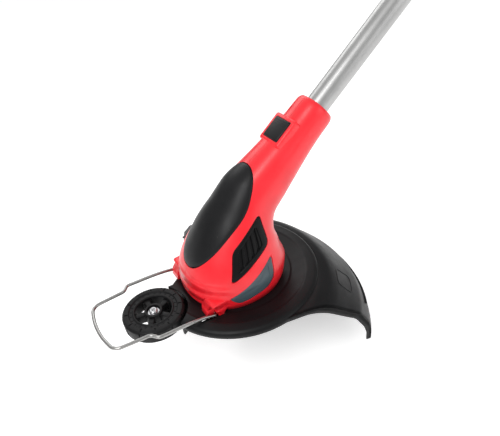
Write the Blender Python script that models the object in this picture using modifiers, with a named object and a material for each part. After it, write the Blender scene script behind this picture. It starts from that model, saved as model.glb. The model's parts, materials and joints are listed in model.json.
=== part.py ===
"""A corded string trimmer: trimming head, guard, edging wheel, line spool, telescopic tube and handles.

Sizes are in millimetres here and turned into metres where Blender reads them. +Z is the motor's axis,
+X points back towards the user, -Y is the user's left, and the origin is the middle of the bump cap's foot.
"""

import math

import bmesh
import bpy
from mathutils import Matrix, Vector

MM = 0.001
GAP = 0.3  # air between two pieces that touch

# Tube and its line through the head
TUBE_ANGLE = 37.8  # degrees above the ground
TUBE_FOOT = (21.0, 192.0)  # x and z of the point that distances along the tube are counted from
TUBE_R, TUBE_WALL = 12.5, 1.2
TUBE_START, TUBE_END = 66.0, 660.0
TUBE_FIT = 1.0  # air between the inner and the outer tube
UPPER_WALL = 1.5
UPPER_R = TUBE_R + TUBE_FIT + UPPER_WALL
HANDLE_START = 935.0
UPPER_START, UPPER_END = 512.0, HANDLE_START + 50.0

# Head housing
HEAD_WALL = 2.8
HEAD_BASE = 104.0  # height of its lower rim
SLEEVE_R = TUBE_R + 3.7
SLEEVE_FLANGE_R, SLEEVE_FLANGE_T = SLEEVE_R + 2.0, 3.0
NECK_R, NECK_END = SLEEVE_R + 4.4, 126.0
SHELF_Z, SHELF_T = 118.0, 3.0
POSTS = ((-36.0, 30.0), (-36.0, -30.0), (28.0, 32.0), (28.0, -32.0))
POST_R = 5.0
SEAM_SCREWS = ((-39.0, 130.0), (40.0, 130.0))
SCREW_R, SCREW_HEAD_R, SCREW_HEAD_H = 1.7, 3.2, 2.4

# Plates and inserts in the head
COVER_CENTRE, COVER_LENGTH, COVER_WIDTH = -27.0, 124.0, 61.0
VENT_OUTLINE = ((20.0, 197.0), (23.0, 162.0), (-31.0, 138.0), (-19.0, 169.0))
VENT_SLOTS, VENT_SLOT_W = 5, 3.6
LABEL_OUTLINE = ((23.0, 150.0), (19.0, 127.0), (9.0, 118.5), (-10.0, 115.5), (-28.0, 112.0), (-38.0, 121.0))
LABEL_T = 0.8

# Release button on the neck
BUTTON_AT, BUTTON_SIDE = 81.0, 24.0
BUTTON_TOP, BUTTON_DEPTH = NECK_R + 6.0, 5.4
BEZEL_RIM, BEZEL_TOP, POCKET_FLOOR = 4.5, NECK_R + 4.6, SLEEVE_FLANGE_R + 0.4

# Motor
SHAFT_R = 4.0
CAN_R, CAN_WALL, CAN_LOW, CAN_HIGH = 27.0, 2.0, 84.0, 148.0
BEARING_R, BEARING_H = 11.0, 6.0
CORE_R, MAGNET_R = 19.5, 20.4
FAN_R, FAN_Z, FAN_BLADES = 31.0, 152.5, 9

# Guard
DECK_Z, GUARD_T = HEAD_BASE - GAP, 2.6
DISH_R = 94.5
# The dish stops at this outline on the user's left, where the line is free to cut along an edge
DISH_OPEN_SIDE = ((-12.5, 130.0), (-130.0, 130.0), (-130.0, 24.0), (-70.0, 24.0), (-56.0, 35.0), (-12.5, 89.0))
BOSS_R = 34.0
HOOD_X = -14.0  # the hood is turned about an axis a little in front of the motor's
HOOD_R, HOOD_LOW = 166.0, 17.0
HOOD_FAR_ANGLE = 87.0

# Edging wheel
WHEEL_X, WHEEL_R, WHEEL_LOW, WHEEL_H = -104.0, 33.7, HEAD_BASE - 10.0, 16.0
WHEEL_SPOKES, WHEEL_TREADS = 5, 12
AXLE_R = 3.2
ARM_LOW, ARM_T = HEAD_BASE - 20.0, 5.0
ARM_POSTS = ((-52.0, 15.0), (-52.0, -15.0))

# Plant guard wire
WIRE_R = 1.9
LUG_X, LUG_Y, LUG_Z, LUG_R = -52.0, 44.0, HEAD_BASE + 1.5, 9.0

# Spool
CUP_R, CUP_WALL, CUP_LOW, CUP_HIGH = 42.0, 2.6, 47.0, 71.0
BOSS_LOW = CUP_HIGH + 6.0
SPOOL_R, SPOOL_CORE_R, SPOOL_BORE_R = 35.0, 18.0, 12.0
SPOOL_LOW, SPOOL_HIGH = 47.5, 60.5
LINE_R, LINE_REACH, LINE_Z = 1.0, 92.0, 54.0
LINE_TURN = 62.0  # where the line leaves the cup, in degrees round from the user's left
CAP_R, CAP_FOOT_R = 29.0, 8.0

# Telescopic clamp, auxiliary handle and rear handle, by distance along the tube
CLAMP_START, CLAMP_END, CLAMP_R = UPPER_START - 24.0, UPPER_START + 33.0, UPPER_R + 5.0
AUX_AT, AUX_PIVOT_UP = 800.0, UPPER_R + 16.0
AUX_LOOP_H, AUX_LOOP_HALF, AUX_R = 120.0, 62.0, 11.0
GRIP_R, GRIP_WALL = 16.5, 3.0
TRIGGER_PIVOT = (HANDLE_START + 112.0, 40.0)
LOCK_AT = HANDLE_START + 127.0
KNOB_R = 15.0

PART_NAME = "string_trimmer"


# ---------------------------------------------------------------- scene and materials

def clear_scene():
    for obj in list(bpy.data.objects):
        bpy.data.objects.remove(obj, do_unlink=True)


def new_collection(name):
    collection = bpy.data.collections.new(name)
    bpy.context.scene.collection.children.link(collection)
    return collection


def material(name, colour, roughness, metallic=0.0):
    made = bpy.data.materials.new(name)
    made.use_nodes = True
    shader = made.node_tree.nodes["Principled BSDF"]
    shader.inputs["Base Color"].default_value = (*colour, 1.0)
    shader.inputs["Roughness"].default_value = roughness
    shader.inputs["Metallic"].default_value = metallic
    made.diffuse_color = (*colour, 1.0)
    return made


# ---------------------------------------------------------------- frames

def shift(x, y, z):
    return Matrix.Translation(Vector((x, y, z)) * MM)


def turned(degrees, axis):
    return Matrix.Rotation(math.radians(degrees), 4, axis)


SIDE = turned(90.0, "X")  # an outline's x stays, its y goes up and its thickness runs across
HEAD_FRAME = shift(TUBE_FOOT[0], 0.0, TUBE_FOOT[1])
# Local Z runs up the tube and local -X is the tube's upper side
TUBE = HEAD_FRAME @ turned(90.0 - TUBE_ANGLE, "Y")
# Local X runs up the tube, local Y is its upper side
TUBE_SIDE = HEAD_FRAME @ turned(-TUBE_ANGLE, "Y") @ SIDE


def on_tube(distance, up=0.0, across=0.0):
    """World place, in millimetres, of a point given by its distance along the tube and above it."""
    return TUBE @ Vector((-up * MM, across * MM, distance * MM)) / MM


# ---------------------------------------------------------------- shapes

def put(name, mesh, frame=None):
    obj = bpy.data.objects.new(name, mesh)
    PARTS.objects.link(obj)
    if frame is not None:
        obj.matrix_world = frame
    return obj


def bake(obj, recalculate=True):
    """Replaces the object's shape with what its modifiers make of it, welded."""
    graph = bpy.context.evaluated_depsgraph_get()
    mesh = bpy.data.meshes.new_from_object(obj.evaluated_get(graph))
    work = bmesh.new()
    work.from_mesh(mesh)
    bmesh.ops.remove_doubles(work, verts=work.verts, dist=0.002 * MM)
    bmesh.ops.dissolve_degenerate(work, edges=work.edges, dist=0.0005 * MM)
    if recalculate:
        bmesh.ops.recalc_face_normals(work, faces=work.faces)
    work.to_mesh(mesh)
    work.free()
    name, frame = obj.name, obj.matrix_world.copy()
    bpy.data.objects.remove(obj, do_unlink=True)
    mesh.materials.clear()
    made = put(name, mesh, frame)
    made.name = name
    return made


def settle(obj):
    """Moves the object's place into its mesh, so that its own origin is the world's."""
    obj.data.transform(obj.matrix_world)
    if obj.matrix_world.determinant() < 0:
        obj.data.flip_normals()
    obj.matrix_world = Matrix.Identity(4)
    return obj


def from_bmesh(name, work, frame=None):
    mesh = bpy.data.meshes.new(name)
    bmesh.ops.recalc_face_normals(work, faces=work.faces)
    work.to_mesh(mesh)
    work.free()
    return settle(put(name, mesh, frame or Matrix.Identity(4)))


def box(name, low, high, frame=None, rounding=0.0):
    work = bmesh.new()
    bmesh.ops.create_cube(work, size=1.0)
    size = (Vector(high) - Vector(low)) * MM
    middle = (Vector(high) + Vector(low)) * MM / 2
    bmesh.ops.scale(work, vec=size, verts=work.verts)
    bmesh.ops.translate(work, vec=middle, verts=work.verts)
    if rounding:
        bmesh.ops.bevel(work, geom=work.edges[:], offset=rounding * MM, segments=2, profile=0.5,
                        affect="EDGES")
    return from_bmesh(name, work, frame)


def cylinder(name, radius, low, high, frame=None, sides=20, top_radius=None):
    work = bmesh.new()
    bmesh.ops.create_cone(work, cap_ends=True, segments=sides, radius1=radius * MM,
                          radius2=(radius if top_radius is None else top_radius) * MM,
                          depth=(high - low) * MM)
    bmesh.ops.translate(work, vec=(0, 0, (high + low) * MM / 2), verts=work.verts)
    return from_bmesh(name, work, frame)


def lathe(name, profile, frame=None, steps=24):
    """Turns a closed profile of (radius, height) points, or one that starts and ends on the axis."""
    closed = profile[0][0] > 0 or profile[-1][0] > 0
    points = [(r * MM, 0.0, z * MM) for r, z in profile]
    edges = [(i, i + 1) for i in range(len(points) - 1)]
    if closed:
        edges.append((len(points) - 1, 0))
    mesh = bpy.data.meshes.new(name)
    mesh.from_pydata(points, edges, [])
    obj = put(name, mesh)
    screw = obj.modifiers.new("Turn", "SCREW")
    screw.steps = steps
    screw.render_steps = steps
    screw.use_merge_vertices = True
    screw.merge_threshold = 0.00001
    obj = bake(obj)
    obj.matrix_world = frame or Matrix.Identity(4)
    return settle(obj)


def ring(name, inner, outer, low, high, frame=None, steps=24):
    return lathe(name, ((outer, high), (outer, low), (inner, low), (inner, high)), frame, steps)


def plate(name, outlines, low, high, frame=None):
    """Extrudes a flat outline, with any holes as further outlines, from one height to another."""
    curve = bpy.data.curves.new(name, "CURVE")
    curve.dimensions = "2D"
    curve.fill_mode = "BOTH"
    curve.extrude = (high - low) * MM / 2
    for outline in outlines:
        spline = curve.splines.new("POLY")
        spline.points.add(len(outline) - 1)
        for point, (x, y) in zip(spline.points, outline):
            point.co = (x * MM, y * MM, 0.0, 1.0)
        spline.use_cyclic_u = True
    obj = bake(put(name, curve))
    obj.matrix_world = (frame or Matrix.Identity(4)) @ shift(0, 0, (high + low) / 2)
    return settle(obj)


def wire(name, points, radius, cyclic=False, frame=None, rounds=2):
    """A round bar along points; radius is one value or one for each point."""
    curve = bpy.data.curves.new(name, "CURVE")
    curve.dimensions = "3D"
    curve.bevel_resolution = rounds
    curve.use_fill_caps = not cyclic
    radii = radius if isinstance(radius, (list, tuple)) else [radius] * len(points)
    curve.bevel_depth = MM
    spline = curve.splines.new("POLY")
    spline.points.add(len(points) - 1)
    for point, place, r in zip(spline.points, points, radii):
        point.co = (*(Vector(place) * MM), 1.0)
        point.radius = r
    spline.use_cyclic_u = cyclic
    obj = bake(put(name, curve))
    obj.matrix_world = frame or Matrix.Identity(4)
    return settle(obj)


def smooth_route(points, cyclic=False, steps=4):
    """Points of a Catmull-Rom curve through the given ones."""
    count = len(points)
    spans = count if cyclic else count - 1
    at = (lambda i: Vector(points[i % count])) if cyclic else (
        lambda i: Vector(points[min(max(i, 0), count - 1)]))
    route = []
    for i in range(spans):
        a, b, c, d = at(i - 1), at(i), at(i + 1), at(i + 2)
        for k in range(steps):
            t = k / steps
            route.append(0.5 * (2 * b + (c - a) * t + (2 * a - 5 * b + 4 * c - d) * t * t
                                + (3 * b - a - 3 * c + d) * t ** 3))
    if not cyclic:
        route.append(Vector(points[-1]))
    return route


def is_closed(obj):
    work = bmesh.new()
    work.from_mesh(obj.data)
    closed = len(work.faces) > 0 and all(edge.is_manifold for edge in work.edges)
    work.free()
    return closed


def combined(obj, other, operation):
    """One Boolean, applied at once; both shapes are used up."""
    name = obj.name
    for solver in ("EXACT", "MANIFOLD"):
        made = copy(obj, name)
        modifier = made.modifiers.new(operation.title(), "BOOLEAN")
        modifier.operation = operation
        modifier.solver = solver
        modifier.object = other
        made = bake(made, recalculate=False)
        if is_closed(made):
            break
        if solver == "EXACT":
            bpy.data.objects.remove(made, do_unlink=True)
    bpy.data.objects.remove(obj, do_unlink=True)
    bpy.data.objects.remove(other, do_unlink=True)
    made.name = name
    return made


def cut(obj, *others):
    for other in others:
        obj = combined(obj, other, "DIFFERENCE")
    return obj


def join(obj, *others):
    for other in others:
        obj = combined(obj, other, "UNION")
    return obj


def common(obj, *others):
    for other in others:
        obj = combined(obj, other, "INTERSECT")
    return obj


def copy(obj, name):
    return put(name, obj.data.copy(), obj.matrix_world)


def mirrored(obj, name):
    """A copy on the other side of the plane y = 0."""
    other = copy(obj, name)
    other.matrix_world = Matrix.Scale(-1, 4, (0, 1, 0))
    return settle(other)


def finish(obj, name, look, smooth_angle=35.0):
    obj.name = name
    obj.data.name = name
    obj.data.materials.clear()
    obj.data.materials.append(look)
    obj.data.shade_smooth()
    obj.data.set_sharp_from_angle(angle=math.radians(smooth_angle))
    return obj


def on_joint(obj, place, frame=None):
    """Puts the object's own origin on its joint, without moving its shape."""
    origin = shift(*place) if frame is None else shift(*place) @ frame
    obj.data.transform(origin.inverted())
    obj.matrix_world = origin
    return obj


def half(obj, side):
    """What lies on one side (+1 or -1) of the plane y = 0, half a gap away from it."""
    far, near = 400.0, GAP / 2
    low, high = (near, far) if side > 0 else (-far, -near)
    region = box("region", (-300.0, low, -100.0), (1500.0, high, 1300.0))
    return common(obj, region)


def screw_shape(name, place, frame, length, head_r=SCREW_HEAD_R, shank_r=SCREW_R):
    """A cap screw: its head's underside is at the place and its shank runs along local -Z."""
    socket = shank_r * 0.8
    profile = ((0.0, SCREW_HEAD_H * 0.45), (socket, SCREW_HEAD_H * 0.45), (socket, SCREW_HEAD_H),
               (head_r * 0.85, SCREW_HEAD_H), (head_r, SCREW_HEAD_H * 0.7), (head_r, 0.0),
               (shank_r, 0.0), (shank_r, -length + shank_r), (0.0, -length))
    return finish(lathe(name, profile, shift(*place) @ frame, steps=8), name, STEEL)


# ---------------------------------------------------------------- head

def head_sections():
    """Rows of centre x, centre z, tilt, half length and half width, from the base rim to the neck."""
    rows = [
        (-5.0, HEAD_BASE, 0.0, 55.0, 53.0), (-5.0, 113.0, 0.0, 58.0, 56.5), (-3.0, 127.0, 5.0, 58.5, 56.5),
        (2.0, 139.0, 14.0, 56.0, 53.5), (8.0, 150.0, 24.0, 52.0, 48.5), (14.0, 162.0, 35.0, 47.5, 43.5),
        (20.0, 174.5, 44.0, 42.0, 38.5), (23.0, 185.5, 50.0, 37.0, 34.5),
    ]
    tilt = 90.0 - TUBE_ANGLE
    for distance, half_length, half_width in ((12.0, 32.3, 31.0), (32.0, 29.5, 28.5), (60.0, 25.7, 25.2),
                                              (85.0, 22.7, 22.5), (104.0, 21.3, 21.3),
                                              (NECK_END - 5.0, NECK_R, NECK_R), (NECK_END, 18.0, 18.0)):
        place = on_tube(distance)
        rows.append((place.x, place.z, tilt, half_length, half_width))
    return rows


def head_body(name, inset=0.0, last=None, low=0.0, sides=28):
    """The head's outer form drawn in by the inset; last leaves out rows at the neck's end."""
    rows = head_sections()[:last]
    work = bmesh.new()
    loops = []
    if low:
        x, z, tilt, length, width = rows[0]
        rows = [(x, z - low, tilt, length, width)] + rows
    for x, z, tilt, length, width in rows:
        frame = shift(x, 0.0, z) @ turned(tilt, "Y")
        loop = []
        for k in range(sides):
            angle = 2 * math.pi * k / sides
            c, s = math.cos(angle), math.sin(angle)
            across = (length - inset) * math.copysign(abs(c) ** 0.91, c)
            along = (width - inset) * math.copysign(abs(s) ** 0.91, s)
            loop.append(work.verts.new(frame @ Vector((across * MM, along * MM, 0.0))))
        loops.append(loop)
    for lower, upper in zip(loops, loops[1:]):
        for k in range(sides):
            n = (k + 1) % sides
            work.faces.new((lower[k], lower[n], upper[n], upper[k]))
    work.faces.new(loops[0][::-1])
    work.faces.new(loops[-1])
    return from_bmesh(name, work)


def cover_prism(name, shrink=0.0):
    """A column with the cover's egg outline, standing on the tube's line and going up through the head."""
    points = []
    for k in range(22):
        angle = 2 * math.pi * k / 22
        c, s = math.cos(angle), math.sin(angle)
        points.append((COVER_CENTRE + (COVER_LENGTH / 2 - shrink) * math.copysign(abs(c) ** 0.92, c),
                       (COVER_WIDTH / 2 - shrink) * math.copysign(abs(s) ** 0.88, s)))
    # Local X up the tube and local Y across it
    frame = HEAD_FRAME @ turned(-TUBE_ANGLE, "Y")
    return plate(name, [points], -6.0, 70.0, frame)


def inset_outline(points, distance):
    """The outline drawn in by a distance; its corners run clockwise or anticlockwise."""
    count = len(points)
    area = sum(points[i][0] * points[(i + 1) % count][1] - points[(i + 1) % count][0] * points[i][1]
               for i in range(count))
    turn = 1.0 if area > 0 else -1.0
    lines = []
    for i in range(count):
        a, b = Vector(points[i]), Vector(points[(i + 1) % count])
        run = (b - a).normalized()
        inward = Vector((-run.y, run.x)) * turn
        lines.append((a + inward * distance, run))
    corners = []
    for i in range(count):
        (p, d), (q, e) = lines[i - 1], lines[i]
        t = ((q.x - p.x) * e.y - (q.y - p.y) * e.x) / (d.x * e.y - d.y * e.x)
        corners.append(tuple(p + d * t))
    return corners


def side_prism(name, outline, low=-90.0, high=90.0):
    return plate(name, [outline], low, high, SIDE)


def skin(name, region, outer_inset, inner_inset):
    """The layer of the head between two insets that lies inside a region."""
    layer = common(region, head_body("outer", outer_inset))
    layer = cut(layer, head_body("inner", inner_inset))
    layer.name = name
    return layer


def bezel_box(name, rim, floor, top):
    reach = BUTTON_SIDE / 2 + rim
    return box(name, (-top, -reach, BUTTON_AT - reach), (-floor, reach, BUTTON_AT + reach), TUBE,
               rounding=min(2.5, max(rim, 0.6)))


def lug_block(name, side, margin=0.0):
    radius = LUG_R + margin
    outline = [(LUG_X + 24.0 + margin, LUG_Z + 16.0), (LUG_X - 2.0, LUG_Z + 16.0),
               (LUG_X - radius + 1.0, LUG_Z + 8.0)]
    for k in range(9):
        angle = math.radians(180.0 + 22.5 * k)
        outline.append((LUG_X + radius * math.cos(angle), LUG_Z + radius * math.sin(angle)))
    inner, outer = LUG_Y - 15.0 - margin, LUG_Y + 4.0 + margin
    return plate(name, [outline], *((inner, outer) if side < 0 else (-outer, -inner)), SIDE)


def lug_shape(side):
    """The boss beside the housing's front foot that one end of the plant guard wire hinges in."""
    lug = lug_block("lug", side)
    pocket = cylinder("pocket", 6.0, LUG_Y - 1.6, LUG_Y + 8.0, shift(LUG_X, 0, LUG_Z) @ (
        turned(90.0, "X") if side < 0 else turned(-90.0, "X")), 16)
    slot = box("slot", (LUG_X - 20.0, LUG_Y - 1.6, LUG_Z - 3.2), (LUG_X, LUG_Y + 8.0, LUG_Z + 14.0))
    if side < 0:
        slot = mirrored_cutter(slot)
    return cut(lug, pocket, slot)


def mirrored_cutter(obj):
    other = mirrored(obj, "other_side")
    bpy.data.objects.remove(obj, do_unlink=True)
    return other


def lug_hole():
    reach = LUG_Y + 3.0
    return cylinder("hole", WIRE_R + GAP, -reach, reach, shift(LUG_X, 0, LUG_Z) @ turned(90.0, "X"), 12)


def head_shells():
    bezel = bezel_box("bezel", BEZEL_RIM, 14.0, BEZEL_TOP)
    shell = join(head_body("shell"), bezel, lug_shape(-1), lug_shape(1))
    cavity = head_body("cavity", HEAD_WALL, last=10, low=6.0, sides=20)
    neck_bore = cylinder("bore", SLEEVE_R + GAP, 20.0, NECK_END + 5.0, TUBE, 20)
    flange = cylinder("flange", SLEEVE_FLANGE_R + GAP, TUBE_START - GAP,
                      TUBE_START + SLEEVE_FLANGE_T + GAP, TUBE, 20)
    shell = cut(shell, cavity, neck_bore, flange, bezel_box("pocket", GAP, POCKET_FLOOR, 40.0), lug_hole())

    # Inside: the shelf that grips the motor, posts for the guard's screws and bosses for the seam's
    shelf = common(box("shelf", (-90.0, -90.0, SHELF_Z), (90.0, 90.0, SHELF_Z + SHELF_T)),
                   head_body("limit", HEAD_WALL / 2))
    shelf = cut(shelf, cylinder("seat", CAN_R + GAP, SHELF_Z - 5.0, SHELF_Z + 10.0, None, 24))
    shell = join(shell, shelf)
    for x, y in POSTS:
        shell = join(shell, cylinder("post", POST_R, HEAD_BASE, SHELF_Z + 1.0, shift(x, y, 0), 14))
    for x, z in SEAM_SCREWS:
        frame = shift(x, 0, z) @ turned(-90.0, "X")
        boss = common(cylinder("boss", 5.0, -80.0, 80.0, frame, 14), head_body("limit", HEAD_WALL / 2))
        shell = join(shell, boss)

    # Openings and recesses for the plates that lie in the surface
    shell = cut(shell, common(cover_prism("window"), head_body("limit", -3.0, last=12)),
                side_prism("vents", VENT_OUTLINE))
    seat = cut(side_prism("label_seat", LABEL_OUTLINE), head_body("floor", LABEL_T + GAP))
    shell = cut(shell, seat)

    # Holes for screws
    for x, y in POSTS:
        shell = cut(shell, cylinder("pilot", SCREW_R + GAP / 2, HEAD_BASE - 1.0, HEAD_BASE + 12.0,
                                    shift(x, y, 0), 12))
    for x, z in SEAM_SCREWS:
        frame = shift(x, 0, z) @ turned(-90.0, "X")
        shell = cut(shell, cylinder("pilot", SCREW_R + GAP / 2, -16.0, 40.0, frame, 12),
                    cylinder("counterbore", SCREW_HEAD_R + GAP, 18.0, 90.0, frame, 14))

    left = half(copy(shell, "left"), -1)
    right = half(shell, 1)
    finish(left, "head_shell_left", RED)
    finish(right, "head_shell_right", RED)


def top_cover():
    cover = skin("cover", cover_prism("cover_region", GAP), -0.9, HEAD_WALL - 0.4)
    # Keep only the outer skin: the region's column also meets the lower wall of the head
    lower = HEAD_FRAME @ turned(-TUBE_ANGLE, "Y")
    cover = cut(cover, box("below", (-200.0, -90.0, -60.0), (120.0, 90.0, -4.0), lower))
    finish(cover, "top_cover", BLACK)


def vent_grilles():
    inset = inset_outline(VENT_OUTLINE, GAP)
    grille = skin("grille", side_prism("region", inset, 2.0, 90.0), 0.5, 3.2)
    top, right, bottom, left = (Vector(p) for p in VENT_OUTLINE)
    lean = math.degrees(math.atan2(left.x - bottom.x, left.y - bottom.y))
    for k in range(VENT_SLOTS):
        share = (k + 0.75) / (VENT_SLOTS + 0.5)
        middle = (bottom.lerp(right, share) + left.lerp(top, share)) / 2
        reach = 8.0 + 3.0 * share
        frame = shift(middle.x, 0, middle.y) @ turned(lean, "Y")
        slot = box("slot", (-VENT_SLOT_W / 2, -90.0, -reach), (VENT_SLOT_W / 2, 0.0, reach), frame)
        grille = cut(grille, slot)
    finish(mirrored(grille, "right"), "vent_grille_right", BLACK)
    finish(grille, "vent_grille_left", BLACK)


def label_plates():
    inset = inset_outline(LABEL_OUTLINE, GAP)
    label = skin("label", side_prism("region", inset, 2.0, 90.0), 0.0, LABEL_T)
    finish(mirrored(label, "right"), "label_plate_right", SLATE)
    finish(label, "label_plate_left", SLATE)


def release_button():
    reach = BUTTON_SIDE / 2
    button = box("button", (-BUTTON_TOP, -reach, BUTTON_AT - reach),
                 (-BUTTON_TOP + BUTTON_DEPTH, reach, BUTTON_AT + reach), TUBE, rounding=1.6)
    finish(button, "release_button", BLACK)
    on_joint(button, on_tube(BUTTON_AT, BUTTON_TOP))
    turns, per_turn, coil_r, wire_r = 1, 12, 5.0, 0.35
    low = POCKET_FLOOR + GAP + wire_r
    rise = (BUTTON_TOP - BUTTON_DEPTH - GAP - wire_r - low) / (turns * per_turn)
    points = []
    for k in range(turns * per_turn + 1):
        angle = 2 * math.pi * k / per_turn
        points.append((-(low + rise * k), coil_r * math.cos(angle), BUTTON_AT + coil_r * math.sin(angle)))
    finish(wire("spring", points, wire_r, frame=TUBE, rounds=1), "button_spring", STEEL)


def seam_screws():
    for number, (x, z) in enumerate(SEAM_SCREWS, 1):
        screw_shape(f"seam_screw_{number}", (x, 18.0 + GAP, z), turned(-90.0, "X"), 30.0)


# ---------------------------------------------------------------- motor

def motor():
    seat_r = BEARING_R + GAP
    can = lathe("can", ((CAN_R - 2.0, CAN_HIGH), (CAN_R, CAN_HIGH - 2.0), (CAN_R, CAN_LOW),
                        (CAN_R - CAN_WALL, CAN_LOW), (CAN_R - CAN_WALL, CAN_HIGH - 4.0),
                        (seat_r, CAN_HIGH - 4.0), (seat_r, CAN_HIGH)))
    finish(can, "motor_can", STEEL)
    cap_low = CAN_LOW - GAP - 6.0
    finish(ring("end_cap", seat_r, CAN_R, cap_low, CAN_LOW - GAP), "motor_end_cap", BLACK)
    for name, low in (("bearing_lower", cap_low), ("bearing_upper", CAN_HIGH - BEARING_H + 1.0)):
        high = low + BEARING_H
        groove = low + BEARING_H / 2
        race = lathe(name, ((BEARING_R, high), (BEARING_R, low), (8.6, low), (8.2, groove - 2.0),
                            (6.4, groove - 2.0), (6.0, low), (SHAFT_R + GAP, low), (SHAFT_R + GAP, high)),
                     steps=20)
        finish(race, name, STEEL)
    core_low, core_high = CAN_LOW + 10.0, CAN_HIGH - 18.0
    core = ring("core", SHAFT_R + GAP, CORE_R, core_low, core_high, steps=24)
    for k in range(6):
        slot = box("slot", (CORE_R - 5.0, -1.4, core_low - 1.0), (CORE_R + 2.0, 1.4, core_high + 1.0),
                   turned(60.0 * k, "Z"))
        core = cut(core, slot)
    finish(core, "armature_core", COPPER)
    finish(ring("commutator", SHAFT_R + GAP, 9.5, core_high + 2.0, core_high + 9.0, steps=20),
           "commutator", COPPER)
    for name, turn in (("magnet_front", 180.0), ("magnet_back", 0.0)):
        arc = ring("arc", MAGNET_R, CAN_R - CAN_WALL - GAP, core_low, core_high, steps=32)
        wedge = plate("wedge", [[(4.0, 0.0), (60.0, 90.0), (60.0, -90.0)]], 0.0, 300.0, turned(turn, "Z"))
        finish(common(arc, wedge), name, DARK_STEEL)
    shaft = lathe("shaft", ((0.0, FAN_Z + 15.0), (SHAFT_R - 0.8, FAN_Z + 15.0), (SHAFT_R, FAN_Z + 14.0),
                            (SHAFT_R, CUP_HIGH - 11.0), (0.0, CUP_HIGH - 11.0)), steps=20)
    finish(shaft, "motor_shaft", STEEL)


def cooling_fan():
    bore = SHAFT_R + GAP
    fan = lathe("fan", ((9.0, FAN_Z + 12.0), (9.0, FAN_Z + 2.0), (FAN_R, FAN_Z + 2.0), (FAN_R, FAN_Z),
                        (bore, FAN_Z), (bore, FAN_Z + 12.0)), steps=24)
    for k in range(FAN_BLADES):
        frame = turned(360.0 / FAN_BLADES * k, "Z")
        blade = box("blade", (8.0, -0.9, FAN_Z + 1.0), (FAN_R - 1.0, 0.9, FAN_Z + 10.0), frame)
        fan = join(fan, blade)
    finish(fan, "cooling_fan", BLACK)


# ---------------------------------------------------------------- guard

def hood_profile(thickness=GUARD_T, inner=86.0):
    """The hood's section: outer line from the dish out and down to the skirt's rim, then back inside."""
    top = HEAD_BASE
    outer = [(inner, top + 0.5), (108.0, top), (118.0, top - 3.5), (126.0, top - 10.0), (140.0, top - 25.0),
             (153.0, top - 38.0), (HOOD_R - 2.5, 44.0), (HOOD_R, 32.0), (HOOD_R, HOOD_LOW)]
    inner_line = [(HOOD_R - thickness, HOOD_LOW), (HOOD_R - thickness, 31.0),
                  (HOOD_R - 2.5 - thickness * 1.1, 42.5), (152.0 - thickness * 0.75, top - 39.5 - thickness * 0.4),
                  (139.0 - thickness * 0.7, top - 26.0 - thickness * 0.6),
                  (125.0 - thickness * 0.6, top - 11.0 - thickness * 0.7),
                  (117.0 - thickness * 0.4, top - 4.0 - thickness), (107.5, top - thickness),
                  (inner, top + 0.5 - thickness)]
    return outer + inner_line


def hood_sector(depth=0.0):
    """The part of the hood's full turn that is kept, seen from above; depth leaves a strip at each end."""
    far = math.radians(HOOD_FAR_ANGLE)
    reach = 260.0
    near_start = Vector((0.0, -93.0))
    near_end = near_start + Vector((0.981, -0.194)) * reach
    far_start = Vector((HOOD_X + 60.0 * math.cos(far), 60.0 * math.sin(far)))
    far_end = Vector((HOOD_X + reach * math.cos(far), reach * math.sin(far)))
    if not depth:
        return [(near_start, near_end, (reach, 0.0), (reach, reach), far_end, far_start, (0.0, 0.0))]
    inward_near = Vector((0.194, 0.981)) * depth
    inward_far = Vector((math.sin(far), -math.cos(far))) * depth
    return [(near_start, near_end, near_end + inward_near, near_start + inward_near),
            (far_start, far_start + inward_far, far_end + inward_far, far_end)]


def hood_piece(thickness, outline):
    full = lathe("hood", hood_profile(thickness), shift(HOOD_X, 0, 0), steps=46)
    return common(full, plate("sector", [[tuple(p) for p in outline]], 0.0, 200.0))


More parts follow.
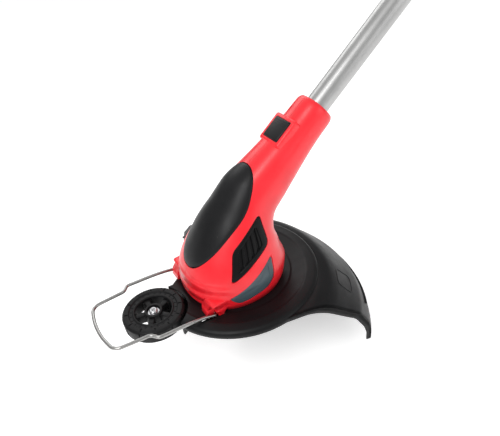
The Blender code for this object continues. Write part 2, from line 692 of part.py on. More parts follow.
def guard():
    under = DECK_Z - GUARD_T
    base = HEAD_BASE
    dish = lathe("dish", (
        (BOSS_R, DECK_Z), (62.0, DECK_Z), (64.0, DECK_Z + 1.2), (79.0, base + 3.2), (81.0, base + 4.0),
        (DISH_R - 4.0, base + 3.4), (DISH_R - 1.5, base + 1.8), (DISH_R, base - 1.0), (DISH_R, base - 4.5),
        (DISH_R - GUARD_T, base - 4.5), (DISH_R - GUARD_T, base - 1.5), (DISH_R - 5.0, base + 0.4),
        (80.0, base + 0.6),
        (64.0, under + 0.8), (62.0, under), (BOSS_R + GUARD_T, under), (BOSS_R + GUARD_T, BOSS_LOW),
        (BOSS_R, BOSS_LOW)), steps=32)
    wheel_well = ring("well", WHEEL_R + 3.5, WHEEL_R + 6.0, base - 14.0, base + 1.5, shift(WHEEL_X, 0, 0), 28)
    inside_dish = cylinder("inside", DISH_R - 1.0, 60.0, 120.0, None, 44)
    wheel_well = cut(common(wheel_well, inside_dish), cylinder("head_room", 62.0, DECK_Z, 120.0, None, 44))
    dish = join(dish, wheel_well)
    dish = cut(dish, plate("open_side", [DISH_OPEN_SIDE], 40.0, 140.0))
    hood = hood_piece(GUARD_T, hood_sector()[0])
    clear = cylinder("clear", 84.0, 60.0, 110.0, None, 44)
    dish = join(dish, cut(hood, clear))
    for outline in hood_sector(3.0):
        rib = cut(hood_piece(GUARD_T + 3.0, outline), cylinder("clear", 90.0, 60.0, 110.0, None, 44))
        dish = join(dish, rib)

    # A tab at the far end carries the line cutter
    tab_frame = shift(HOOD_X, 0, 0) @ turned(HOOD_FAR_ANGLE, "Z")
    tab = box("tab", (HOOD_R - 18.0, -5.0, HOOD_LOW), (HOOD_R - 1.0, -1.0, HOOD_LOW + 16.0), tab_frame)
    dish = join(dish, tab)

    # Room for the wheel and the wire's two lugs, and holes for the screws
    cuts = [cylinder("wheel_space", WHEEL_R + 3.5, 60.0, 130.0, shift(WHEEL_X, 0, 0), 28)]
    for side in (-1.0, 1.0):
        cuts.append(lug_block("lug_space", side, GAP))
        low, high = sorted((side * (LUG_Y - 2.2), side * (LUG_Y + 4.2)))
        cuts.append(box("wire_channel", (LUG_X - 17.0, low, LUG_Z - 3.0), (LUG_X, high, LUG_Z + 6.0)))
    low, high = base - 14.0, base + 6.0
    cuts += [cylinder("hole", SCREW_R + GAP, low, high, shift(x, y, 0), 10) for x, y in POSTS]
    cuts += [cylinder("arm_hole", SCREW_R + GAP, low, high, shift(x, y, 0), 12) for x, y in ARM_POSTS]
    cuts.append(cylinder("cutter_hole", SCREW_R + GAP / 2, -10.0, 10.0,
                         tab_frame @ shift(HOOD_R - 9.0, 0, HOOD_LOW + 8.0) @ turned(90.0, "X"), 12))
    finish(cut(dish, *cuts), "guard", BLACK, 30.0)


def guard_screws():
    under = DECK_Z - GUARD_T - GAP
    for number, (x, y) in enumerate(POSTS, 1):
        screw_shape(f"guard_screw_{number}", (x, y, under), turned(180.0, "X"), 13.0)


def line_cutter():
    frame = shift(HOOD_X, 0, 0) @ turned(HOOD_FAR_ANGLE, "Z")
    face = -5.0 - GAP
    out, inn = HOOD_R - 3.0 - 3.0, HOOD_R - 20.0
    outline = [(inn, HOOD_LOW - 1.0), (inn + 3.0, HOOD_LOW + 14.0), (out, HOOD_LOW + 14.0), (out, HOOD_LOW + 2.0)]
    blade = plate("blade", [outline], -face, -face + 1.6, frame @ SIDE)
    bore_frame = frame @ shift(HOOD_R - 9.0, 0, HOOD_LOW + 8.0) @ turned(90.0, "X")
    blade = cut(blade, cylinder("hole", SCREW_R + GAP, 0.0, 20.0, bore_frame, 12))
    finish(blade, "line_cutter", STEEL)
    place = frame @ Vector(((HOOD_R - 9.0) * MM, (face - 1.6 - GAP) * MM, (HOOD_LOW + 8.0) * MM)) / MM
    screw_shape("cutter_screw", place, turned(HOOD_FAR_ANGLE, "Z") @ turned(90.0, "X"), 5.6)


# ---------------------------------------------------------------- edging wheel

def circle(radius, count, x=0.0, y=0.0, start=0.0):
    return [(x + radius * math.cos(start + 2 * math.pi * k / count),
             y + radius * math.sin(start + 2 * math.pi * k / count)) for k in range(count)]


def tread_outline():
    """The wheel's rim from above: square lugs with shallow gaps between them."""
    points = []
    step = 2 * math.pi / WHEEL_TREADS
    for k in range(WHEEL_TREADS):
        for share, radius in ((0.04, WHEEL_R), (0.44, WHEEL_R), (0.84, WHEEL_R), (0.94, WHEEL_R - 1.2)):
            angle = step * (k + share)
            points.append((radius * math.cos(angle), radius * math.sin(angle)))
    return points


def spoke_openings(inner, outer, spoke):
    """Outlines of the openings between the wheel's spokes."""
    openings = []
    for k in range(WHEEL_SPOKES):
        start = 2 * math.pi * k / WHEEL_SPOKES
        end = start + 2 * math.pi / WHEEL_SPOKES
        edge_in, edge_out = spoke / 2 / inner, spoke / 2 / outer
        points = []
        for j in range(4):
            angle = start + edge_out + (end - start - 2 * edge_out) * j / 3
            points.append((outer * math.cos(angle), outer * math.sin(angle)))
        for j in range(3):
            angle = end - edge_in - (end - start - 2 * edge_in) * j / 2
            points.append((inner * math.cos(angle), inner * math.sin(angle)))
        openings.append(points)
    return openings


def edging_wheel():
    place = shift(WHEEL_X, 0, 0)
    high = WHEEL_LOW + WHEEL_H
    wheel = plate("rim", [tread_outline(), circle(20.5, 20)], WHEEL_LOW, high, place)
    outlines = [circle(21.0, 20)] + spoke_openings(10.5, 18.8, 5.5) + [circle(AXLE_R + GAP, 10)]
    spider = plate("spider", outlines, WHEEL_LOW + 2.0, high - 3.5, place)
    wheel = join(wheel, spider, ring("hub", AXLE_R + GAP, 10.0, WHEEL_LOW, high - 1.0, place, 14))
    wheel = cut(wheel, cylinder("recess", 6.8, high - 5.0, high + 1.0, place, 16))
    finish(wheel, "edging_wheel", RUBBER)
    on_joint(wheel, (WHEEL_X, 0, WHEEL_LOW))


def wheel_arm():
    top = ARM_LOW + ARM_T
    outline = [(-44.0, -22.0), (-44.0, 22.0), (-60.0, 22.0)]
    for k in range(9):
        angle = math.radians(90.0 + 22.5 * k)
        outline.append((WHEEL_X + 9.0 * math.cos(angle), 9.0 * math.sin(angle)))
    outline.append((-60.0, -22.0))
    arm = plate("arm", [outline], ARM_LOW, top)
    arm = join(arm, cylinder("boss", 8.0, ARM_LOW - 6.0, WHEEL_LOW - GAP, shift(WHEEL_X, 0, 0), 18))
    for x, y in ARM_POSTS:
        post = cylinder("post", 4.6, top - 1.0, DECK_Z - GUARD_T - GAP, shift(x, y, 0), 14)
        arm = join(arm, post)
        arm = cut(arm, cylinder("hole", SCREW_R + GAP, ARM_LOW - 5.0, 120.0, shift(x, y, 0), 12))
    arm = cut(arm, cylinder("axle_hole", AXLE_R + GAP, ARM_LOW - 3.0, 120.0, shift(WHEEL_X, 0, 0), 14))
    finish(arm, "wheel_arm", BLACK)
    seat = shift(WHEEL_X, 0, WHEEL_LOW + WHEEL_H - 5.0 + GAP)
    screw = lathe("axle", (
        (0.0, 2.2), (3.0, 2.2), (3.0, 4.0), (5.2, 4.0), (6.2, 3.0), (6.2, 0.0), (AXLE_R, 0.0),
        (AXLE_R, -22.0), (0.0, -24.0)), seat, 16)
    finish(screw, "axle_screw", STEEL)
    screw_shape("arm_screw_1", (*ARM_POSTS[0], ARM_LOW - GAP), turned(180.0, "X"), 21.0)
    screw_shape("arm_screw_2", (*ARM_POSTS[1], ARM_LOW - GAP), turned(180.0, "X"), 21.0)


# ---------------------------------------------------------------- plant guard wire

def plant_guard():
    arm_y = LUG_Y + 1.0
    nose_z = LUG_Z + 12.5
    half_loop = [(LUG_X, arm_y - 7.0, LUG_Z), (LUG_X, arm_y - 1.6, LUG_Z), (LUG_X - 1.6, arm_y, LUG_Z),
                 (LUG_X - 14.0, arm_y, LUG_Z + 4.5), (LUG_X - 32.0, arm_y, LUG_Z + 7.5),
                 (-110.0, arm_y, LUG_Z + 10.0), (-115.0, arm_y - 1.0, LUG_Z + 10.5),
                 (-121.0, arm_y - 7.0, LUG_Z + 11.0), (-126.0, arm_y - 8.0, LUG_Z + 11.5),
                 (-152.0, arm_y - 10.0, nose_z), (-157.5, arm_y - 13.0, nose_z), (-161.0, 20.0, nose_z)]
    points = [(x, -y, z) for x, y, z in half_loop] + [(-163.0, 0.0, nose_z)] + half_loop[::-1]
    finish(wire("loop", points, WIRE_R, rounds=3), "plant_guard_wire", CHROME)
    on_joint(bpy.data.objects["plant_guard_wire"], (LUG_X, 0, LUG_Z))


# ---------------------------------------------------------------- spool

def spool_group():
    bore = SHAFT_R + GAP
    cup = lathe("cup", ((CUP_R - 3.0, CUP_HIGH), (CUP_R, CUP_HIGH - 4.0), (CUP_R, CUP_LOW),
                        (CUP_R - CUP_WALL, CUP_LOW), (CUP_R - CUP_WALL, CUP_HIGH - 4.5),
                        (9.5, CUP_HIGH - CUP_WALL), (9.5, CUP_HIGH - 12.0), (bore, CUP_HIGH - 12.0),
                        (bore, CUP_HIGH + 4.0), (9.0, CUP_HIGH + 4.0), (9.0, CUP_HIGH)), steps=24)
    for turn in (LINE_TURN, LINE_TURN + 180.0):
        frame = turned(turn, "Z") @ shift(0, 0, LINE_Z) @ turned(90.0, "X")
        cup = cut(cup, cylinder("eye", 3.6 + GAP, CUP_R - 8.0, CUP_R + 5.0, frame, 14))
    finish(cup, "spool_cup", BLACK)
    for number, turn in ((1, LINE_TURN), (2, LINE_TURN + 180.0)):
        frame = turned(turn, "Z") @ shift(0, 0, LINE_Z) @ turned(90.0, "X")
        eye = lathe("eyelet", ((4.8, CUP_R + 1.6), (4.8, CUP_R + GAP), (3.6, CUP_R + GAP),
                               (3.6, CUP_R - CUP_WALL), (LINE_R + 0.6, CUP_R - CUP_WALL),
                               (LINE_R + 0.6, CUP_R + 1.0), (LINE_R + 1.2, CUP_R + 1.6)), frame, 14)
        finish(eye, f"eyelet_{number}", STEEL)
        inside = CUP_R - CUP_WALL
        points = [(inside - 2.4, 3.2), (inside - 0.8, 0.9), (inside + 0.2, 0.35), (inside + 1.6, 0.0),
                  (LINE_REACH, 0.0)]
        line = wire("line", [(-side, 0.0, out) for out, side in points], LINE_R, frame=frame)
        finish(line, f"line_end_{number}", NYLON)

    lock = lathe("lock", ((CUP_R - 0.4, CUP_LOW - GAP), (CUP_R, CUP_LOW - 2.0), (CUP_R, CUP_LOW - 4.0),
                          (CUP_R - 3.0, CUP_LOW - 6.0), (CAP_R + 1.5, CUP_LOW - 6.0),
                          (CAP_R + 1.5, CUP_LOW - GAP)), steps=24)
    finish(lock, "spool_cover", BLACK)

    flange = 2.2
    spool = lathe("spool", ((SPOOL_R, SPOOL_HIGH), (SPOOL_R, SPOOL_HIGH - flange),
                            (SPOOL_CORE_R, SPOOL_HIGH - flange), (SPOOL_CORE_R, SPOOL_LOW + flange),
                            (SPOOL_R, SPOOL_LOW + flange), (SPOOL_R, SPOOL_LOW), (SPOOL_BORE_R, SPOOL_LOW),
                            (SPOOL_BORE_R, SPOOL_HIGH)), steps=24)
    finish(spool, "spool", BLACK)
    low, high = SPOOL_LOW + flange + GAP, SPOOL_HIGH - flange - GAP
    turns = int((high - low) / (2 * LINE_R))
    profile = [(SPOOL_CORE_R + 4 * GAP, high), (30.0, high)]
    for k in range(turns):
        middle = high - (k + 0.5) * (high - low) / turns
        profile.append((31.0, middle))
        profile.append((30.2, middle - 0.5 * (high - low) / turns))
    profile.append((SPOOL_CORE_R + 4 * GAP, low))
    finish(lathe("winding", profile, steps=16), "wound_line", NYLON)

    cap = lathe("cap", ((0.0, SPOOL_HIGH - 7.0), (SPOOL_BORE_R - 2.0, SPOOL_HIGH - 7.0),
                        (SPOOL_BORE_R - GAP, SPOOL_HIGH - 9.0), (SPOOL_BORE_R - GAP, SPOOL_LOW - GAP),
                        (CAP_R, SPOOL_LOW - GAP), (CAP_R, 31.0), (CAP_R - 1.5, 26.0), (CAP_R - 4.8, 20.5),
                        (CAP_R - 9.8, 14.0), (CAP_R - 14.8, 8.0), (CAP_FOOT_R + 2.4, 3.0),
                        (CAP_FOOT_R, 0.0), (0.0, 0.0)), steps=24)
    finish(cap, "bump_cap", BLACK)

    turns, per_turn, coil_r, wire_r = 2, 12, 14.5, 0.8
    low, high = SPOOL_HIGH + GAP + wire_r, CUP_HIGH - CUP_WALL - GAP - wire_r - 0.5
    points = []
    for k in range(turns * per_turn + 1):
        angle = 2 * math.pi * k / per_turn
        points.append((coil_r * math.cos(angle), coil_r * math.sin(angle),
                       low + (high - low) * k / (turns * per_turn)))
    finish(wire("spring", points, wire_r, rounds=1), "spool_spring", STEEL)


# ---------------------------------------------------------------- tube and clamp

def tubes():
    sleeve = lathe("sleeve", (
        (SLEEVE_R, NECK_END - 1.0), (SLEEVE_R, TUBE_START + SLEEVE_FLANGE_T),
        (SLEEVE_FLANGE_R, TUBE_START + SLEEVE_FLANGE_T), (SLEEVE_FLANGE_R, TUBE_START),
        (TUBE_R + GAP, TUBE_START), (TUBE_R + GAP, NECK_END - 1.0)), TUBE, 20)
    finish(sleeve, "swivel_sleeve", BLACK)
    lower = ring("lower", TUBE_R - TUBE_WALL, TUBE_R, TUBE_START, TUBE_END, TUBE, 20)
    finish(lower, "lower_tube", ALUMINIUM)
    upper = ring("upper", UPPER_R - UPPER_WALL, UPPER_R, UPPER_START, UPPER_END, TUBE, 20)
    finish(upper, "upper_tube", ALUMINIUM)


def clamp():
    step = UPPER_START - GAP
    body = lathe("clamp", (
        (CLAMP_R - 2.0, CLAMP_END), (CLAMP_R, CLAMP_END - 2.0), (CLAMP_R, CLAMP_START + 8.0),
        (CLAMP_R - 4.5, CLAMP_START), (TUBE_R - 1.0, CLAMP_START), (TUBE_R - 1.0, CLAMP_END)), TUBE, 20)
    ear_top = CLAMP_R + 9.0
    for low, high in ((-11.0, -7.0), (7.0, 11.0)):
        outline = [(CLAMP_START + 10.0, CLAMP_R - 4.0), (CLAMP_START + 13.0, ear_top - 2.0),
                   (CLAMP_START + 17.0, ear_top), (CLAMP_START + 21.0, ear_top - 2.0),
                   (CLAMP_START + 25.0, CLAMP_R - 4.0)]
        ear = plate("ear", [outline], low, high, TUBE_SIDE)
        body = join(body, ear)
    pin_frame = TUBE_SIDE @ shift(CLAMP_START + 17.0, ear_top - 5.0, 0.0)
    body = cut(body, cylinder("pin_hole", 2.0 + GAP, -20.0, 20.0, pin_frame, 12),
               cylinder("inside", UPPER_R + GAP, step, CLAMP_END + 5.0, TUBE, 20),
               cylinder("inside_low", TUBE_R + GAP, CLAMP_START - 5.0, step + 1.0, TUBE, 20))
    finish(body, "clamp_body", BLACK)
    lever_half = 7.0 - GAP
    outline = [(CLAMP_START + 13.3, ear_top - 6.0), (CLAMP_START + 14.2, ear_top - 2.4),
               (CLAMP_START + 17.0, ear_top), (CLAMP_START + 30.0, ear_top - 1.0),
               (CLAMP_START + 52.0, ear_top - 5.0), (CLAMP_START + 53.0, ear_top - 8.0),
               (CLAMP_START + 30.0, ear_top - 6.5), (CLAMP_START + 21.0, CLAMP_R + GAP + 0.4),
               (CLAMP_START + 15.0, CLAMP_R + GAP + 0.4)]
    lever = plate("lever", [outline], -lever_half, lever_half, TUBE_SIDE)
    lever = join(lever, cylinder("pin", 2.0, -10.5, 10.5, pin_frame, 12))
    finish(lever, "clamp_lever", RED)
    on_joint(lever, on_tube(CLAMP_START + 17.0, ear_top - 5.0))


# ---------------------------------------------------------------- auxiliary handle

def auxiliary_handle():
    low, high = AUX_AT - 17.0, AUX_AT + 17.0
    body = lathe("ring", ((UPPER_R + 5.0, high), (UPPER_R + 5.0, low), (UPPER_R + GAP, low),
                          (UPPER_R + GAP, high)), TUBE, 20)
    block = box("block", (AUX_AT - 11.0, UPPER_R + 1.5, -13.0), (AUX_AT + 11.0, AUX_PIVOT_UP - 8.0, 13.0),
                TUBE_SIDE)
    body = join(body, block)
    for low, high in ((-13.0, -8.0), (8.0, 13.0)):
        ear = box("ear", (AUX_AT - 9.0, AUX_PIVOT_UP - 12.0, low), (AUX_AT + 9.0, AUX_PIVOT_UP, high), TUBE_SIDE)
        end = cylinder("ear_end", 9.0, low, high, TUBE_SIDE @ shift(AUX_AT, AUX_PIVOT_UP, 0), 18)
        body = join(body, join(ear, end))
    pivot = TUBE_SIDE @ shift(AUX_AT, AUX_PIVOT_UP, 0)
    body = cut(body, cylinder("bore", UPPER_R + GAP, AUX_AT - 30.0, AUX_AT + 30.0, TUBE, 20),
               cylinder("bolt_hole", 3.0 + GAP, -30.0, 30.0, pivot, 14))
    finish(body, "aux_clamp", BLACK)

    hub = cylinder("hub", 8.0 - GAP, -8.0 + GAP, 8.0 - GAP, pivot, 18)
    foot = AUX_PIVOT_UP + AUX_R + KNOB_R + 2.0
    top = foot + AUX_LOOP_H
    rise = top - foot
    half_loop = [(0.0, foot), (AUX_LOOP_HALF * 0.55, foot + 0.08 * rise),
                 (AUX_LOOP_HALF * 0.92, foot + 0.32 * rise), (AUX_LOOP_HALF, foot + 0.62 * rise),
                 (AUX_LOOP_HALF * 0.86, foot + 0.88 * rise), (AUX_LOOP_HALF * 0.45, top)]
    loop = half_loop + [(-y, u) for y, u in half_loop[:0:-1]]
    route = smooth_route([(AUX_AT, u, y) for y, u in loop], cyclic=True, steps=3)
    handle = wire("loop", route, AUX_R, cyclic=True, frame=TUBE_SIDE, rounds=2)
    stem = box("stem", (AUX_AT - 7.0, AUX_PIVOT_UP + 2.0, -7.5), (AUX_AT + 7.0, foot - AUX_R + 5.0, 7.5),
               TUBE_SIDE)
    handle = join(handle, join(hub, stem))
    handle = cut(handle, cylinder("bolt_hole", 3.0 + GAP, -30.0, 30.0, pivot, 14))
    finish(handle, "aux_handle", BLACK)
    on_joint(handle, on_tube(AUX_AT, AUX_PIVOT_UP))

    # The knob stands on the user's left with its bolt through the ears
    wings = []
    for k in range(12):
        reach = KNOB_R * (1.0 if k % 2 else 0.74)
        wings.append((reach * math.cos(math.pi * k / 6), reach * math.sin(math.pi * k / 6)))
    knob = plate("knob", [wings], 13.0 + GAP, 25.0, pivot)
    knob = join(knob, cylinder("bolt", 3.0, -13.0, 16.0, pivot, 12))
    finish(knob, "aux_knob", BLACK)
    on_joint(knob, on_tube(AUX_AT, AUX_PIVOT_UP))


# ---------------------------------------------------------------- rear handle

def handle_loop(name, radius, rounds):
    """The closed grip: a hand's bar above, a back, and a lower bar in line with the tube."""
    centres = [(65.0, 2.0), (87.0, 28.0), (117.0, 48.0), (155.0, 54.0), (193.0, 46.0),
               (211.0, 22.0), (207.0, -8.0), (177.0, -16.0), (135.0, -13.0), (95.0, -6.0)]
    route = smooth_route([(HANDLE_START + x, y, 0.0) for x, y in centres], cyclic=True, steps=3)
    return wire(name, route, radius, cyclic=True, frame=TUBE_SIDE, rounds=rounds)


def rear_handle():
    start = HANDLE_START
    shell = lathe("stem", (
        (0.0, start + 87.0), (UPPER_R + 1.0, start + 85.0), (UPPER_R + 6.0, start + 71.0),
        (UPPER_R + 7.0, UPPER_END), (UPPER_R + 6.0, start + 12.0), (UPPER_R + 4.0, start), (0.0, start)),
        TUBE, 24)
    shell = join(shell, handle_loop("grip", GRIP_R, 2))
    cavity = handle_loop("grip_inside", GRIP_R - GRIP_WALL, 1)
    stem_cavity = cylinder("stem_inside", UPPER_R + 2.5, UPPER_END + 2.0, start + 69.0, TUBE, 20)
    shell = cut(shell, cavity, stem_cavity,
                cylinder("socket", UPPER_R + GAP, start - 5.0, UPPER_END + 4.0, TUBE, 20))
    # Openings for the trigger below the hand's bar and for the lock button above it
    x, u = TRIGGER_PIVOT
    shell = cut(shell, box("trigger_slot", (x - 6.0, u - 22.0, -6.5), (x + 50.0, u + 6.0, 6.5), TUBE_SIDE),
                box("lock_slot", (LOCK_AT - 9.5, 50.0, -5.5), (LOCK_AT + 9.5, 90.0, 5.5), TUBE_SIDE),
                box("inlet_slot", (start + 195.0, -16.0, -9.5), (start + 255.0, 10.0, 9.5), TUBE_SIDE))
    finish(half(copy(shell, "left"), -1), "handle_shell_left", RED)
    finish(half(shell, 1), "handle_shell_right", RED)


def trigger_group():
    x, u = TRIGGER_PIVOT
    outline = [(x - 4.0, u - 3.5), (x - 3.0, u + 3.0), (x + 3.0, u + 4.5), (x + 45.0, u + 2.0), (x + 47.0, u - 4.0),
               (x + 40.0, u - 12.0), (x + 24.0, u - 13.5), (x + 8.0, u - 15.0), (x + 1.0, u - 12.0)]
    trigger = plate("trigger", [outline], -6.5 + GAP, 6.5 - GAP, TUBE_SIDE)
    finish(trigger, "trigger", BLACK)
    on_joint(trigger, on_tube(x, u))
    switch = box("switch", (x + 14.0, u + 8.0, -5.0), (x + 36.0, u + 16.0, 5.0), TUBE_SIDE, rounding=0.6)
    finish(switch, "microswitch", DARK_STEEL)
    lock = box("lock", (LOCK_AT - 9.0, 60.0, -5.0), (LOCK_AT + 9.0, 71.0, 5.0), TUBE_SIDE, rounding=1.2)
    finish(lock, "lock_off_button", BLACK)
    on_joint(lock, on_tube(LOCK_AT, 71.0))
    start = HANDLE_START + 213.0
    inlet = box("inlet", (start, -15.5, -9.0), (start + 28.0, 9.5, 9.0), TUBE_SIDE, rounding=1.5)
    for side in (-1.0, 1.0):
        frame = TUBE_SIDE @ turned(90.0, "Y") @ shift(0, -3.0, 5.0 * side)
        pin_hole = cylinder("pin", 2.4, start + 16.0, start + 32.0, frame, 12)
        inlet = cut(inlet, pin_hole)
    finish(inlet, "power_inlet", BLACK)


# ---------------------------------------------------------------- build

clear_scene()
PARTS = new_collection(PART_NAME)
RED = material("red_plastic", (0.78, 0.02, 0.035), 0.34)
BLACK = material("black_plastic", (0.018, 0.018, 0.02), 0.5)
RUBBER = material("wheel_plastic", (0.02, 0.02, 0.02), 0.6)
SLATE = material("slate_label", (0.07, 0.1, 0.12), 0.4)
STEEL = material("steel", (0.55, 0.55, 0.56), 0.3, 1.0)
DARK_STEEL = material("dark_steel", (0.12, 0.12, 0.13), 0.5, 0.6)
CHROME = material("bright_wire", (0.7, 0.7, 0.7), 0.18, 1.0)
ALUMINIUM = material("satin_aluminium", (0.72, 0.72, 0.72), 0.32, 1.0)
COPPER = material("copper", (0.6, 0.28, 0.14), 0.35, 1.0)
NYLON = material("cutting_line", (0.75, 0.2, 0.05), 0.45)

head_shells()
top_cover()
vent_grilles()
label_plates()
release_button()
seam_screws()
motor()
cooling_fan()
guard()
guard_screws()
line_cutter()
edging_wheel()
wheel_arm()
plant_guard()
spool_group()
tubes()
clamp()
auxiliary_handle()
rear_handle()
trigger_group()
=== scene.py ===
# %% [markdown]
# # A corded string trimmer
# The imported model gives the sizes, the joints and which piece moves with which. This lesson puts a finished
# surface on it: a moulded red housing, satin black plates, an anodised tube and a bright wire.

# %% Load the frame
import json
import math

import bmesh
import bpy
from mathutils import Matrix, Vector
from mathutils.bvhtree import BVHTree


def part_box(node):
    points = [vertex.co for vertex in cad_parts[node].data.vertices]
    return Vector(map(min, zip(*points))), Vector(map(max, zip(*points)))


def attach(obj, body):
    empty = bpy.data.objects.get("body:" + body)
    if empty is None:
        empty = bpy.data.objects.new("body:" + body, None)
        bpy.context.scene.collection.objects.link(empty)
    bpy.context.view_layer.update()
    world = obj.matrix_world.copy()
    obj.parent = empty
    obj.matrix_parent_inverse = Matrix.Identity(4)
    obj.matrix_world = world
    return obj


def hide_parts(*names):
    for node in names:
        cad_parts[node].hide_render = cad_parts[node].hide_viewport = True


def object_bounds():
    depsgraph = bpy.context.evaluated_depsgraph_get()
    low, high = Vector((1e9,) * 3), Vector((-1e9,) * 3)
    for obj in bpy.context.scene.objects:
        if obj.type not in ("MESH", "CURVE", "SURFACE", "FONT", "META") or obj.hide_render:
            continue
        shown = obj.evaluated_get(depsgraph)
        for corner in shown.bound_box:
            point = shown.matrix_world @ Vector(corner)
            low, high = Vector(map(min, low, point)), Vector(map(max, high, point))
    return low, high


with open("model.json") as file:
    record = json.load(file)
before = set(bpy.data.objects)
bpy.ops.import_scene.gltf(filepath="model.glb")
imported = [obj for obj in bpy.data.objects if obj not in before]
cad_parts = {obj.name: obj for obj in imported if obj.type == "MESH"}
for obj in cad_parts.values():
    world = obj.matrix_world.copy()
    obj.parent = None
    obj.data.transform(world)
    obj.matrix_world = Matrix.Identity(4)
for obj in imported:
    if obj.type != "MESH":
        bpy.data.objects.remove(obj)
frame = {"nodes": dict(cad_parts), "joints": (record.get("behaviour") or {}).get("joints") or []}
CAD_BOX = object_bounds()
JOINTS = {joint["name"]: joint for joint in frame["joints"]}
MM = 0.001

def in_scene(name, data):
    made = bpy.data.objects.new(name, data)
    bpy.context.scene.collection.objects.link(made)
    return made


def meshed(work, name):
    """Makes a bmesh an object of the scene and frees it."""
    mesh = bpy.data.meshes.new(name)
    work.to_mesh(mesh)
    work.free()
    return in_scene(name, mesh)


# %% [markdown]
# ## Where the tube runs
# The head turns about the tube's own axis, so that joint gives the tube's direction. A point is then named by
# how far up the tube it is, how far above it and how far across, which is how a fitter would measure it.

# %% The tube's own directions
ALONG = Vector(JOINTS["head_swivel"]["axis"]).normalized()
ACROSS = Vector((0.0, 1.0, 0.0))
UPPER = ALONG.cross(ACROSS)
TUBE_FOOT = Vector(JOINTS["head_swivel"]["pos_m"])


def placed(x_axis, y_axis, z_axis, origin):
    made = Matrix((x_axis, y_axis, z_axis)).transposed().to_4x4()
    made.translation = origin
    return made


TUBE_TOP = placed(ALONG, ACROSS, UPPER, TUBE_FOOT)  # x up the tube, y across, z its upper side
TUBE_LATHE = placed(-UPPER, ACROSS, ALONG, TUBE_FOOT)  # z up the tube
TUBE_SIDE = placed(ALONG, UPPER, -ACROSS, TUBE_FOOT)  # x up the tube, y its upper side
SIDE = Matrix.Rotation(math.radians(90.0), 4, "X")  # y becomes height


def shift(x, y, z):
    return Matrix.Translation(Vector((x, y, z)) * MM)


def spun(degrees, axis="Z"):
    return Matrix.Rotation(math.radians(degrees), 4, axis)


print("tube leans", round(math.degrees(math.asin(ALONG.z)), 1), "degrees")

# %% [markdown]
# ## Camera
# A product view from above the motor's left side. The lens is a plain 35 mm one, and the camera's three axes
# are written out, because a slight roll can't be had by aiming alone.

# %% Camera
camera = in_scene("camera", bpy.data.cameras.new("camera"))
camera.data.lens = 35.0
camera.data.sensor_width = 36.0
camera.matrix_world = placed(
    Vector((0.838050, -0.536241, -0.096962)),
    Vector((0.391800, 0.470020, 0.790440)),
    Vector((-0.378205, -0.701189, 0.603999)),
    Vector((-0.175428, -0.374067, 0.490744)),
)
bpy.context.scene.camera = camera
print("camera at", [round(v, 3) for v in camera.location])

# %% [markdown]
# ## Floor and light
# The floor is a plain pale sheet just under the lowest piece. A bright, even surround gives the soft
# shadows of a light tent, and three large panels draw the long highlights on the tube and the cover.

# %% Floor and lights
FLOOR_HALF, FLOOR_GAP = 8.0, 0.0005
floor_mesh = bmesh.new()
bmesh.ops.create_grid(floor_mesh, x_segments=1, y_segments=1, size=FLOOR_HALF)
bmesh.ops.translate(floor_mesh, verts=floor_mesh.verts, vec=(0.0, 0.0, CAD_BOX[0][2] - FLOOR_GAP))
floor = meshed(floor_mesh, "floor")
floor_look = bpy.data.materials.new("pale_sheet")
floor_look.use_nodes = True
floor_shader = floor_look.node_tree.nodes["Principled BSDF"]
for socket, value in {"Base Color": (0.93, 0.93, 0.93, 1.0), "Roughness": 0.9, "Specular IOR Level": 0.1,
                      "Emission Color": (1.0, 1.0, 1.0, 1.0), "Emission Strength": 0.5}.items():
    floor_shader.inputs[socket].default_value = value
floor.data.materials.append(floor_look)

surround = bpy.data.worlds.new("surround")
surround.use_nodes = True
sky = surround.node_tree.nodes.new("ShaderNodeTexCoord")
height = surround.node_tree.nodes.new("ShaderNodeSeparateXYZ")
fade = surround.node_tree.nodes.new("ShaderNodeValToRGB")
fade.color_ramp.elements[0].position = 0.0
fade.color_ramp.elements[0].color = (0.22, 0.22, 0.225, 1.0)
fade.color_ramp.elements[1].position = 0.75
fade.color_ramp.elements[1].color = (1.0, 1.0, 1.0, 1.0)
surround.node_tree.links.new(sky.outputs["Generated"], height.inputs[0])
surround.node_tree.links.new(height.outputs[2], fade.inputs[0])
surround.node_tree.links.new(fade.outputs[0], surround.node_tree.nodes["Background"].inputs["Color"])
surround.node_tree.nodes["Background"].inputs["Strength"].default_value = 0.62
bpy.context.scene.world = surround


def panel(name, place, aim, size, power):
    """A rectangular light at a place, turned to face a point."""
    light = bpy.data.lights.new(name, "AREA")
    light.shape = "RECTANGLE"
    light.size, light.size_y = size
    light.energy = power
    holder = in_scene(name, light)
    holder.location = place
    holder.rotation_euler = (Vector(aim) - Vector(place)).to_track_quat("-Z", "Y").to_euler()


panel("key_panel", (-0.7, -0.5, 1.15), (0.0, 0.0, 0.15), (0.5, 0.9), 8.5)
panel("fill_panel", (0.7, -1.1, 0.7), (0.05, 0.0, 0.15), (0.9, 0.7), 2.6)
panel("back_panel", (0.3, 1.2, 1.0), (0.05, 0.0, 0.2), (1.4, 0.6), 6.0)
bpy.context.scene.view_settings.view_transform = "Standard"
bpy.context.scene.view_settings.look = "None"

# %% [markdown]
# ## Shader sums
# A finish is mostly arithmetic on patterns. Wrapping a socket in a small class lets that arithmetic be
# written as ordinary sums, and each sum adds its own Math node.

